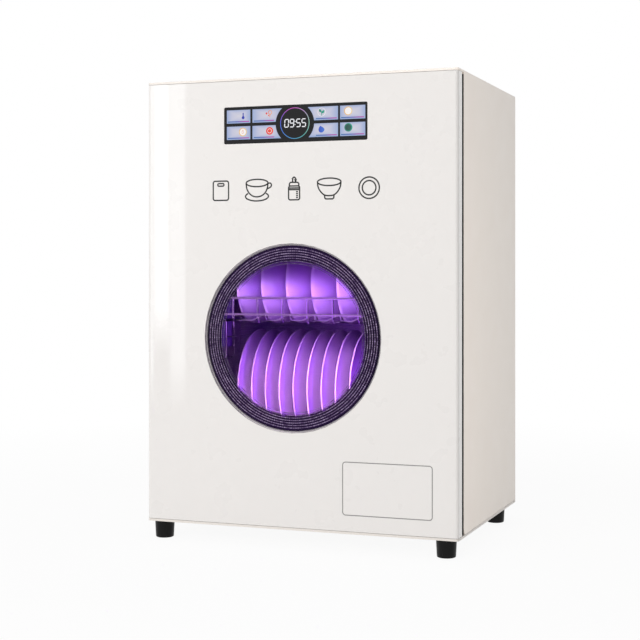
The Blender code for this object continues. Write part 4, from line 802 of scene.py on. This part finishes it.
def make_ring_print(name):
    """The window's printed rim: dark bands with fine dotted lines, that let more light through further in. The
    bands carry a painted glow at the top and bottom.
    """
    finish = Finish(name, (0.01, 0.004, 0.02), roughness=0.3, specular_ior_level=0.1)
    around = finish.scaled((1 / MM, 0, 1 / MM), (-WINDOW_X, 0, -WINDOW_Z))
    radius = finish.node("ShaderNodeVectorMath", {0: around}, operation="LENGTH").outputs["Value"]
    parts = finish.split(around)
    angle = finish.math("ARCTAN2", parts[2], parts[0])

    # Lines are a pitch apart, each as wide as its share of the pitch
    turn = finish.math("DIVIDE", finish.math("SUBTRACT", radius, RING_LINE_START), RING_LINE_PITCH)
    width = finish.spread(radius, RING_THIN_SHARE, RING_LINE_SHARE, RING_CLEAR, RING_SOLID)
    line = finish.math("LESS_THAN", finish.math("FRACT", turn), width)
    inside_edge = finish.math("LESS_THAN", radius, RING_OUTER - RING_EDGE_BAND)
    dots = finish.math("SINE", finish.math("MULTIPLY", angle, RING_DOTS))
    beads = finish.spread(dots, low=0.35, high=1.0, from_low=-1.0, from_high=0.2)
    bright = finish.math("MULTIPLY", finish.math("MULTIPLY", line, inside_edge), beads)

    # Painted light: the dark bands are painted more violet towards the top and bottom, standing in for the
    # cavity's light glowing through them
    painted_glow_share = finish.math("ABSOLUTE", finish.math("DIVIDE", parts[2], radius))
    painted_glow_band = finish.blend(painted_glow_share, (0.006, 0.002, 0.014), (0.012, 0.003, 0.030))
    shades = finish.spread(finish.noise(size=0.0024, detail=1), low=0, high=1)
    thread = finish.blend(shades, (0.09, 0.05, 0.13), (0.52, 0.42, 0.62))
    finish.put("Base Color", finish.blend(bright, painted_glow_band, thread))
    finish.put("Roughness", finish.spread(finish.noise(size=0.004), low=0.4, high=0.6))
    cover = finish.spread(radius, 0.03, 1.0, RING_CLEAR, RING_SOLID)
    line_cover = finish.math("MULTIPLY", line, finish.spread(radius, 0.6, 1.0, RING_CLEAR, RING_SOLID))
    finish.put("Alpha", finish.math("MAXIMUM", cover, line_cover))
    return finish.material


def in_window(u, v, y):
    """A place, from its offsets from the window's middle."""
    return (WINDOW_X + u, y, WINDOW_Z + v)


def make_window_band(name, material, inner, outer, near, far):
    """A flat ring on the back of the pane."""
    front, back = PANE[1].y + near, PANE[1].y + far
    bm = bmesh.new()
    revolve(bm, [(inner, front), (outer, front), (outer, back), (inner, back)], in_window, RING_STEPS)
    add_piece(name, bm, "door", "window_glass", material=material)


def make_window_ticks():
    """Fine ticks round the ring's outer edge."""
    root = RING_OUTER * MM + PRINT_GAP
    tip = RING_TICK_OUTER * MM
    half = math.pi * RING_TICK_SHARE / RING_TICKS
    corners = ((root, -half), (root, half), (tip, half * RING_TICK_TAPER), (tip, -half * RING_TICK_TAPER))
    bm = bmesh.new()
    for i in range(RING_TICKS):
        turn = 2 * math.pi * i / RING_TICKS
        outline = [(r * math.cos(turn + a), r * math.sin(turn + a)) for r, a in corners]
        layer = (PANE[1].y + PRINT_NEAR, PANE[1].y + PRINT_FAR)
        front, back = ([in_window(u, v, y) for u, v in outline] for y in layer)
        plate_between(bm, front, back)
    add_piece("window_ring_ticks", bm, "door", "window_glass", material=INK)


RING_PRINT = make_ring_print("ring_print")
make_window_band("window_ring_print", RING_PRINT, RING_INNER * MM, RING_OUTER * MM, PRINT_NEAR, PRINT_FAR)
make_window_ticks()
BORDER_INNER = RING_OUTER * MM + PRINT_GAP
BORDER_OUTER = WINDOW_RADIUS - BORDER_INSET
make_window_band("window_border_print", WHITE_INK, BORDER_INNER, BORDER_OUTER, BORDER_NEAR, BORDER_FAR)

# Symbols printed on the door

SYMBOL_LINE = 1.55
DRAWINGS = {}
DRAWINGS["symbol_board"] = (
    (rounded((81.1, 358.4), (99.6, 379.6), 2.4), True),
    (rounded((86.6, 374.1), (94.0, 376.9), 1.3), True),
)
CUP_SIDE = (
    *((120.7, 376.2), (121.6, 370.4), (124.6, 365.4), (128.9, 362.4), (133.6, 361.6)),
    *((138.3, 362.4), (142.7, 365.4), (145.6, 370.4), (146.5, 376.2)),
)
DRAWINGS["symbol_cup"] = (
    (ring_of((133.6, 376.7), (12.9, 4.0)), True),
    (curve_through(CUP_SIDE), False),
    (curve_through(((146.6, 376.0), (149.2, 376.3), (150.6, 374.2), (149.4, 371.8), (145.9, 370.2))), False),
    (arc((133.5, 362.1), (13.6, 5.0), 40, -220, 36), False),
)
BOTTLE_CAP = arc((177.1, 380.2), (1.7, 1.9), 180, 0, 10)
BOTTLE_NECK = [(175.4, 376.6), (175.4, 380.2), *BOTTLE_CAP, (178.8, 380.2), (178.8, 376.6)]
SHOULDER_LEFT = arc((173.8, 374.3), (2.2, 2.2), 180, 90, 5)
SHOULDER_RIGHT = arc((180.4, 374.3), (2.2, 2.2), 90, 0, 5)
BOTTLE_SHOULDERS = [(171.6, 372.8), *SHOULDER_LEFT, *SHOULDER_RIGHT, (182.6, 372.8)]
DRAWINGS["symbol_bottle"] = (
    (BOTTLE_NECK, False),
    (BOTTLE_SHOULDERS, False),
    (rounded((170.7, 357.6), (183.5, 372.6), 2.0), True),
    ([(171.0, 370.4), (183.2, 370.4)], False),
    ([(171.0, 368.6), (183.2, 368.6)], False),
) + tuple(([(179.4, z), (181.6, z)], False) for z in (366.4, 364.3, 362.2, 360.1))
BOWL_SIDE = (
    *((204.1, 375.8), (204.9, 370.8), (207.6, 366.0), (211.9, 362.3), (217.5, 361.4)),
    *((223.2, 362.3), (227.4, 366.0), (230.1, 370.8), (230.9, 375.8)),
)
DRAWINGS["symbol_bowl"] = (
    (ring_of((217.5, 376.2), (13.4, 4.0)), True),
    (curve_through(BOWL_SIDE), False),
    ([(212.2, 362.0), (212.5, 359.0), (213.6, 357.9), (221.6, 357.9), (222.7, 359.0), (223.0, 362.0)], False),
)
DRAWINGS["symbol_plate"] = (
    (disc((262.6, 369.0), 11.4, 56), True),
    (disc((262.6, 369.0), 7.6, 44), True),
)
FRAME_LINE = 1.0
DOOR_PRINT = door_layer(PRINT_FAR, PRINT_NEAR)


def print_on_door(name, drawing, width, material):
    bm = bmesh.new()
    for path, closed in drawing:
        stroke(bm, path, width, DOOR_PRINT, closed)
    add_piece(name, bm, "door", "white_door", material=material)


for name, drawing in DRAWINGS.items():
    print_on_door(name, drawing, SYMBOL_LINE, INK)
FRAME_DRAWING = ((rounded((232.8, 20.3), (332.0, 76.8), 3.2), True),)
print_on_door("door_plain_frame_line", FRAME_DRAWING, FRAME_LINE, PALE_INK)

# Display

TILE_LAYER = door_layer(0.00003, 0.00001)
MARK_LAYER = door_layer(0.00006, 0.00004)
UPPER_LAYER = door_layer(0.00009, 0.00007)
DIAL_CENTRE = (177.9, 440.5)
DIAL_RADIUS = 22.4
DIAL_RING = 16.6
DIAL_LINE = 0.75
ROWS = {"top": (442.7, 457.2), "bottom": (424.7, 439.2)}

# Ends of each column of tiles, and of the coloured bars near the feet of its tiles
COLUMNS = {
    "outer_left": ((97.6, 125.6), (98.7, 124.2)),
    "inner_left": ((128.2, 166.0), (129.7, 153.8)),
    "inner_right": ((189.8, 227.6), (202.4, 226.2)),
    "outer_right": ((229.9, 258.3), (231.0, 256.9)),
}
BAR_LOW = 1.2
BAR_HIGH = 2.3
TILE_STEPS = 12


def rectangle(left, right, bottom, top):
    return [(left, bottom), (right, bottom), (right, top), (left, top)]


def tile_outline(column, row):
    """A tile, cut by the dial's circle where it meets it."""
    (left, right), (bottom, top) = COLUMNS[column][0], ROWS[row]
    if "outer" in column:
        return rectangle(left, right, bottom, top)
    side = -1 if "left" in column else 1
    curve = []
    for i in range(TILE_STEPS + 1):
        z = bottom + (top - bottom) * i / TILE_STEPS
        x = DIAL_CENTRE[0] + side * math.sqrt(max(DIAL_RADIUS**2 - (z - DIAL_CENTRE[1]) ** 2, 0))
        curve.append((x, z))
    if side < 0:
        return [(left, bottom)] + curve + [(left, top)]
    return [(right, top)] + curve[::-1] + [(right, bottom)]


def add_sign(name, material, outlines=(), lines=(), width=0.5, layer=MARK_LAYER):
    """A lit piece of the display, of filled outlines and of lines."""
    bm = bmesh.new()
    for outline in outlines:
        film(bm, outline, layer)
    for path, closed in lines:
        stroke(bm, path, width, layer, closed)
    add_piece(name, bm, "door", "display_glass", material=material)


def make_tiles():
    tile = make_tile("lit_tile", strength=0.66)
    blues = ((0.0, (0.03, 0.16, 0.42)), (0.45, (0.10, 0.12, 0.50)))
    magentas = ((0.75, (0.42, 0.05, 0.42)), (1.0, (0.50, 0.06, 0.42)))
    bar = make_lit("lit_bar", 0.9, *blues, *magentas)
    for column, (_, ends) in COLUMNS.items():
        for row, (bottom, _) in ROWS.items():
            add_sign(f"tile_{column}_{row}", tile, [tile_outline(column, row)], layer=TILE_LAYER)
            add_sign(f"bar_{column}_{row}", bar, [rectangle(*ends, bottom + BAR_LOW, bottom + BAR_HIGH)])


make_tiles()

# Colours of the display's signs: how bright each is, and its shades at the left and at the right
SIGN_COLOURS = {
    "red": (0.9, (0.85, 0.03, 0.02), (0.95, 0.10, 0.05)),
    "blue": (0.9, (0.02, 0.06, 0.55), (0.05, 0.20, 0.75)),
    "deep_blue": (0.9, (0.02, 0.03, 0.38), (0.03, 0.06, 0.50)),
    "green": (0.9, (0.01, 0.22, 0.16), (0.02, 0.40, 0.28)),
    "dark_green": (0.9, (0.005, 0.06, 0.05), (0.01, 0.12, 0.09)),
    "yellow": (0.9, (0.90, 0.50, 0.14), (0.95, 0.66, 0.25)),
    "pale": (0.95, (1.0, 0.93, 0.90), (0.96, 0.96, 1.0)),
    "orange": (0.9, (0.90, 0.16, 0.05), (0.95, 0.42, 0.15)),
    "white": (1.0, (0.95, 0.96, 1.0), (0.95, 0.96, 1.0)),
}
LIT = {
    name: make_lit("lit_" + name, strength, (0.0, left), (1.0, right))
    for name, (strength, left, right) in SIGN_COLOURS.items()
}

# Middles of the signs on the tiles
THERMOMETER = (117.1, 450.6)
LEFT_RING = (116.7, 432.9)
RIGHT_RING = (239.1, 451.4)
SPRIG = (149.0, 453.2)
RED_DISC = (148.5, 433.1)
LEAF = (208.9, 451.3)
DROP = (208.7, 432.7)
GREEN_DISC = (239.3, 433.8)


def make_signs():
    """Small generic signs on the tiles: heat, cold, care, drying, air, water, light and dark."""
    x, z = THERMOMETER
    stem = rounded((x - 0.65, z - 1.6), (x + 0.65, z + 3.4), 0.6, 4)
    add_sign("mark_thermometer", LIT["deep_blue"], [disc((x, z - 2.0), 1.7, 20), stem])

    # Yellow rings with a pale middle, and a flame in the left one
    for name, centre in (("mark_ring_left", LEFT_RING), ("mark_ring_right", RIGHT_RING)):
        add_sign(name + "_fill", LIT["pale"], [disc(centre, 4.1, 32)])
        add_sign(name, LIT["yellow"], lines=[(disc(centre, 4.2, 32), True)], width=0.9, layer=UPPER_LAYER)
    flame = curve_round(LEFT_RING, ((0, 2.3), (-1.1, -0.3), (0, -1.7), (1.1, -0.3)), 4)
    add_sign("mark_drop_left", LIT["orange"], lines=[(flame, False)], width=0.4, layer=UPPER_LAYER)

    # A sprig with red berries
    x, z = SPRIG
    berries = [disc((x - 4.1, z - 1.0), 1.1, 14), disc((x - 1.7, z - 3.2), 0.8, 12)]
    add_sign("mark_sprig_red", LIT["red"], berries)
    twig = [(ring_of(SPRIG, (1.9, 2.1), 18), True), ([(x, z - 2.3), (x - 0.4, z - 5.2)], False)]
    add_sign("mark_sprig_orange", LIT["orange"], lines=twig, width=0.7)

    # A red disc with a pale ring
    add_sign("mark_disc_red", LIT["red"], [disc(RED_DISC, 4.2, 32)])
    ring = [(disc(RED_DISC, 2.3, 24), True)]
    add_sign("mark_disc_red_ring", LIT["pale"], lines=ring, width=0.45, layer=UPPER_LAYER)

    # A leaf in a pale ring
    x, z = LEAF
    add_sign("mark_leaf_ring", LIT["pale"], lines=[(disc(LEAF, 4.4, 32), True)], width=0.4)
    halves = [
        curve_round(LEAF, ((0, -0.4), (-2.8, 0.6), (-2.9, 3.2), (-0.5, 2.2)), 4)[:-1],
        curve_round(LEAF, ((0.2, -1.6), (0.6, 1.2), (3.2, 1.8), (2.6, -0.9)), 4)[:-1],
    ]
    stem = [([(x - 0.2, z + 0.8), (x + 0.1, z - 3.9)], False)]
    add_sign("mark_leaf", LIT["green"], halves, stem, width=0.7, layer=UPPER_LAYER)

    # A drop, and a green disc with a dark middle
    rim = ((-1.6, 4.0), (-3.4, 0.2), (-2.2, -2.9), (1.2, -3.2), (3.4, -0.6), (2.2, 1.8))
    add_sign("mark_drop", LIT["blue"], [curve_round(DROP, rim, 5)[:-1]])
    add_sign("mark_disc_green", LIT["green"], [disc(GREEN_DISC, 4.6, 32)])
    add_sign("mark_disc_green_middle", LIT["dark_green"], [disc(GREEN_DISC, 3.5, 28)], layer=UPPER_LAYER)


make_signs()


def make_dial_ring():
    """The dial's thin ring: magenta above, blue on the left, teal and green on the right."""
    finish = screen_finish("lit_dial_ring")
    x, _, z = on_door(DIAL_CENTRE, DOOR_FRONT)
    parts = finish.split(finish.scaled((1 / MM, 0, 1 / MM), (-x, 0, -z)))
    angle = finish.math("ARCTAN2", parts[2], parts[0])
    colour = finish.ramp(
        finish.spread(angle, 0, 1, -math.pi, math.pi),
        (0.0, (0.06, 0.12, 0.75)),
        (0.22, (0.05, 0.30, 0.60)),
        (0.36, (0.10, 0.45, 0.42)),
        (0.52, (0.35, 0.62, 0.50)),
        (0.66, (0.50, 0.25, 0.60)),
        (0.78, (0.55, 0.05, 0.45)),
        (1.0, (0.06, 0.12, 0.75)),
    )
    finish.glow(colour, strength=0.95)
    add_sign("dial_ring", finish.material, lines=[(disc(DIAL_CENTRE, DIAL_RING, 96), True)], width=DIAL_LINE)


make_dial_ring()

# Seven-segment digits: the time, each digit's lit segments, its cell and its slant
TIME_DIGITS = "0955"
SEGMENTS = {"0": "abcdef", "9": "abcdfg", "5": "acdfg"}
DIGIT_WIDTH = 4.3
DIGIT_HEIGHT = 8.3
DIGIT_SLANT = 0.06
DIGIT_LINE = 1.0
DIGIT_GAP = 0.35
DIGIT_LEFTS = (166.0, 172.2, 179.7, 185.9)
DIGIT_BASE = 436.5
COLON_LEFT = 178.0
COLON_HEIGHTS = (2.4, 5.9)
COLON_RADIUS = 0.55


def slanted(left, x, z):
    """A point of a digit's cell, leaned over and put in its place."""
    return (left + x + z * DIGIT_SLANT, DIGIT_BASE + z)


def make_digits():
    w, h = DIGIT_WIDTH, DIGIT_HEIGHT
    ends = {
        "a": ((0, h), (w, h)),
        "b": ((w, h / 2), (w, h)),
        "c": ((w, 0), (w, h / 2)),
        "d": ((0, 0), (w, 0)),
        "e": ((0, 0), (0, h / 2)),
        "f": ((0, h / 2), (0, h)),
        "g": ((0, h / 2), (w, h / 2)),
    }
    lines = []
    for digit, left in zip(TIME_DIGITS, DIGIT_LEFTS):
        for segment in SEGMENTS[digit]:
            (x0, z0), (x1, z1) = ends[segment]
            length = math.hypot(x1 - x0, z1 - z0)
            dx, dz = (x1 - x0) / length * DIGIT_GAP, (z1 - z0) / length * DIGIT_GAP
            lines.append(([slanted(left, x0 + dx, z0 + dz), slanted(left, x1 - dx, z1 - dz)], False))
    dots = [disc(slanted(COLON_LEFT, 0, z), COLON_RADIUS, 12) for z in COLON_HEIGHTS]
    add_sign("dial_digits", LIT["white"], dots, lines, width=DIGIT_LINE)


make_digits()

# Screws. A head's rim is upright for a share of its height

SCREW_RADIUS = 0.0032
SCREW_HEIGHT = 0.0014
SCREW_RIM = 0.3
SCREW_STEPS = 28
SCREW_SEAT = 0.00005
SCREW_INSET = 0.010
CROSS_LENGTH = 0.0018
CROSS_WIDTH = 0.0005
CROSS_DEPTH = 0.0003
CROSS_START = 0.1
CROSS_HIGH = SCREW_HEIGHT + 0.0001
CROSS_LOW = SCREW_HEIGHT * 0.9


def add_screws(name, places, outward, body):
    """Pan-head screws with a cross recess. outward is the way that their heads face."""
    out = Vector(outward)
    side = out.orthogonal().normalized()
    up = out.cross(side)
    rim = SCREW_HEIGHT * SCREW_RIM
    profile = arc((0, rim), (SCREW_RADIUS, SCREW_HEIGHT - rim), 90, 0, 6) + [(SCREW_RADIUS, 0), (0, 0)]
    arm = ((CROSS_START, -1, CROSS_HIGH), (1, -1, CROSS_LOW), (1, 1, CROSS_LOW), (CROSS_START, 1, CROSS_HIGH))
    heads, crosses = bmesh.new(), bmesh.new()
    for spot in places:
        seat = spot + out * SCREW_SEAT
        revolve(heads, profile, lambda u, v, h: seat + side * u + up * v + out * h, SCREW_STEPS, closed=False)
        for way, across in ((-side, up), (side, up), (-up, side), (up, side)):
            front = [
                spot + way * reach * CROSS_LENGTH + across * edge * CROSS_WIDTH + out * height
                for reach, edge, height in arm
            ]
            plate_between(crosses, front, [corner - out * CROSS_DEPTH for corner in front])
    add_piece(name, heads, body, "zinc_sheet")
    add_piece(name + "_recesses", crosses, body, "black_plastic")


def panel_screws():
    """Screws round the rear panel: at its corners and the middles of its sides."""
    low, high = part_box("rear_panel")
    middle = (low + high) / 2
    places = []
    for x in (low.x + SCREW_INSET, middle.x, high.x - SCREW_INSET):
        for z in (low.z + SCREW_INSET, middle.z, high.z - SCREW_INSET):
            if (x, z) != (middle.x, middle.z):
                places.append(Vector((x, high.y, z)))
    add_screws("rear_panel_screws", places, (0, 1, 0), "cabinet")


panel_screws()

# Floor, lights and camera

FLOOR_SIZE = 12
FLOOR_GREY = (0.9, 0.9, 0.9, 1)
FLOOR_GLOW = 0.93
FLOOR_PLAIN_FROM = 0.45
FLOOR_PLAIN_TO = 1.2
WORLD_LEVEL = 0.50
WARM_WHITE = (1.0, 0.88, 0.78)
CREAM = (1.0, 1.0, 0.88)
PALE_GREEN = (0.94, 1.0, 0.90)
VIOLET = (0.52, 0.20, 1.0)
INDIGO = (0.30, 0.03, 1.0)
MOUTH_Y = -0.101
STRIP_Y = -1.4
STRIP_TOP = 0.95
STRIP_STEPS = 5
STRIP_STEP = 0.02
STRIP_COLOUR = (0.95, 1.0, 1.04)

# Rows of panels in the cavity's mouth: where each starts and ends along X, its height and its panels' size
Row = namedtuple("Row", "start end z size")
BOWL_ROW = Row(-0.135, 0.045, 0.264, (0.03, 0.044))
RIM_ROW = Row(-0.150, 0.020, 0.170, (0.03, 0.10))
PLATE_ROW = Row(-0.070, 0.120, 0.165, (0.03, 0.09))
ROW_PANELS = 7


def seen_directly(tree, kinds):
    """1 for these kinds of ray, and 0 for the rest."""
    path = add_node(tree, "ShaderNodeLightPath").outputs
    seen = path[kinds[0]]
    for kind in kinds[1:]:
        seen = add_node(tree, "ShaderNodeMath", {0: seen, 1: path[kind]}, operation="MAXIMUM").outputs[0]
    return seen


def make_world():
    """White to the camera and in reflections, and a plain soft light for everything else."""
    world = bpy.data.worlds.new("studio")
    bpy.context.scene.world = world
    world.use_nodes = True
    tree = world.node_tree
    background = tree.nodes["Background"].inputs
    seen = seen_directly(tree, ("Is Camera Ray", "Is Transmission Ray", "Is Glossy Ray"))
    feed(tree, background["Color"], PURE_WHITE)
    feed(tree, background["Strength"], map_range(tree, seen, WORLD_LEVEL, 1.0))


def make_floor_material():
    """White where rays see it directly, and grey to light and shadow. Further out it is plain white."""
    material = bpy.data.materials.new("floor")
    material.use_nodes = True
    tree = material.node_tree
    tree.nodes.clear()
    place = add_node(tree, "ShaderNodeTexCoord").outputs["Object"]
    reach = add_node(tree, "ShaderNodeVectorMath", {0: place}, operation="LENGTH").outputs["Value"]
    plain = map_range(tree, reach, FLOOR_GLOW, 1.0, FLOOR_PLAIN_FROM, FLOOR_PLAIN_TO)
    seen = seen_directly(tree, ("Is Camera Ray", "Is Glossy Ray"))
    share = add_node(tree, "ShaderNodeMath", {0: seen, 1: plain}, operation="MULTIPLY").outputs[0]
    diffuse = add_node(tree, "ShaderNodeBsdfDiffuse", {"Color": FLOOR_GREY}).outputs[0]
    glow = add_node(tree, "ShaderNodeEmission", {"Color": PURE_WHITE}).outputs[0]
    mixed = add_node(tree, "ShaderNodeMixShader", {0: share, 1: diffuse, 2: glow}).outputs[0]
    add_node(tree, "ShaderNodeOutputMaterial", {"Surface": mixed})
    return material


def make_floor():
    """A pale floor that looks white and keeps the object's soft shadow near it."""
    bm = bmesh.new()
    bmesh.ops.create_grid(bm, x_segments=1, y_segments=1, size=FLOOR_SIZE)
    mesh = bpy.data.meshes.new("floor")
    bm.to_mesh(mesh)
    bm.free()
    mesh.materials.append(make_floor_material())
    add_object("floor", mesh)


def add_light(name, place, aim, size, power, colour=(1, 1, 1), spread=180, mirrored=False, only=()):
    """A softbox that faces a point, with a spread in degrees. Where only names pieces, it lights no others."""
    data = bpy.data.lights.new(name, "AREA")
    data.shape = "RECTANGLE"
    data.size, data.size_y = size
    data.energy = power
    data.color = colour
    data.spread = math.radians(spread)
    light = add_object(name, data)
    light.location = place
    light.rotation_euler = (Vector(aim) - Vector(place)).to_track_quat("-Z", "Y").to_euler()
    light.visible_camera = False
    light.visible_glossy = mirrored
    if only:
        receivers = bpy.data.collections.new(name + "_receivers")
        for piece in only:
            receivers.objects.link(bpy.data.objects[piece])
        light.light_linking.receiver_collection = receivers


def add_strip(name, left, right, bottom, radiance):
    """A tall softbox that the door's gloss mirrors, dimmed in steps at its lower end."""
    edges = [bottom + i * STRIP_STEP for i in range(STRIP_STEPS)] + [STRIP_TOP]
    x, width = (left + right) / 2, right - left
    for i, (low, high) in enumerate(zip(edges, edges[1:])):
        share = (i + 1) / STRIP_STEPS
        z, height = (low + high) / 2, high - low
        power = radiance * share * math.pi * width * height
        place, aim = (x, STRIP_Y, z), (x, 0, z)
        add_light(f"{name}_{i}", place, aim, (width, height), power, STRIP_COLOUR, mirrored=True)


def light_studio():
    """A soft key from the front left, a warm fill at the right, and strips for the door's gloss to mirror."""
    add_light("key", (-0.9, -3.4, 1.3), (0, 0, 0.25), (2.2, 2.2), 57)
    shell = ["outer_shell_smooth"]
    add_light("fill", (0.62, -0.50, 0.28), (0.18, -0.05, 0.25), (0.4, 0.5), 1.5, WARM_WHITE, only=shell)
    add_light("top", (0, 0.1, 2.3), (0, 0, 0.5), (1.5, 1.5), 5)
    add_strip("strip_inner", -0.7875, -0.7510, 0.02, 2.5)
    add_strip("strip_middle", -0.8256, -0.7900, 0.13, 4.5)
    add_strip("strip_outer", -0.8370, -0.8285, 0.02, 3.7)


def add_row(name, row, turn, spread, radiance, colour, only):
    """Upright panels in the cavity's mouth, all turned alike in degrees."""
    turn = math.radians(turn)
    for i in range(ROW_PANELS):
        x = row.start + (row.end - row.start) * i / (ROW_PANELS - 1)
        aim = (x + math.sin(turn), MOUTH_Y + math.cos(turn), row.z)
        power = radiance * row.size[0] * row.size[1]
        add_light(f"{name}_{i}", (x, MOUTH_Y, row.z), aim, row.size, power, colour, spread, only=only)


def add_front_light(name, y, z, size, power, colour, only):
    """A panel in the middle of the cavity's mouth, facing the back."""
    add_light(name, (0, y, z), (0, 0, z), size, power, colour, mirrored=True, only=only)


def light_cavity():
    """The lamp's light on the ware: from the left for rims and bowls, and from the right for the plates."""
    bowls = [node + "_ware" for node in BOWLS]
    plates = [node + "_ware" for node in PLATES]
    wires = ["upper_rack_smooth", "lower_rack_smooth", "lamp_guard_smooth"]
    add_row("bowl_light", BOWL_ROW, turn=54, spread=56, radiance=6.7, colour=PALE_GREEN, only=bowls)
    add_row("rim_light", RIM_ROW, turn=62, spread=36, radiance=7.4, colour=CREAM, only=plates)
    add_row("plate_light", PLATE_ROW, turn=-60, spread=44, radiance=2.2, colour=VIOLET, only=plates)
    add_front_light("wire_light", -0.1135, 0.215, (0.30, 0.24), power=0.13, colour=PALE_GREEN, only=wires)
    walls = ["liner_shell_smooth"]
    add_front_light("wall_light", -0.1132, 0.25, (0.30, 0.36), power=0.06, colour=INDIGO, only=walls)
    ware = bowls + plates
    add_front_light("front_light", -0.113, 0.26, (0.24, 0.045), power=0.05, colour=INDIGO, only=ware)


def make_camera():
    data = bpy.data.cameras.new("camera")
    data.lens = CAMERA_LENS
    data.sensor_width = CAMERA_SENSOR
    data.shift_y = CAMERA_SHIFT
    camera = add_object("camera", data)
    camera.location = CAMERA_PLACE
    camera.rotation_euler = (math.pi / 2, 0, CAMERA_YAW)
    bpy.context.scene.camera = camera


make_world()
make_floor()
make_camera()
light_studio()
light_cavity()
# Rays that cross both panes and the print, and come back out
bpy.context.scene.cycles.transparent_max_bounces = 24

bpy.context.scene.view_settings.view_transform = "Standard"
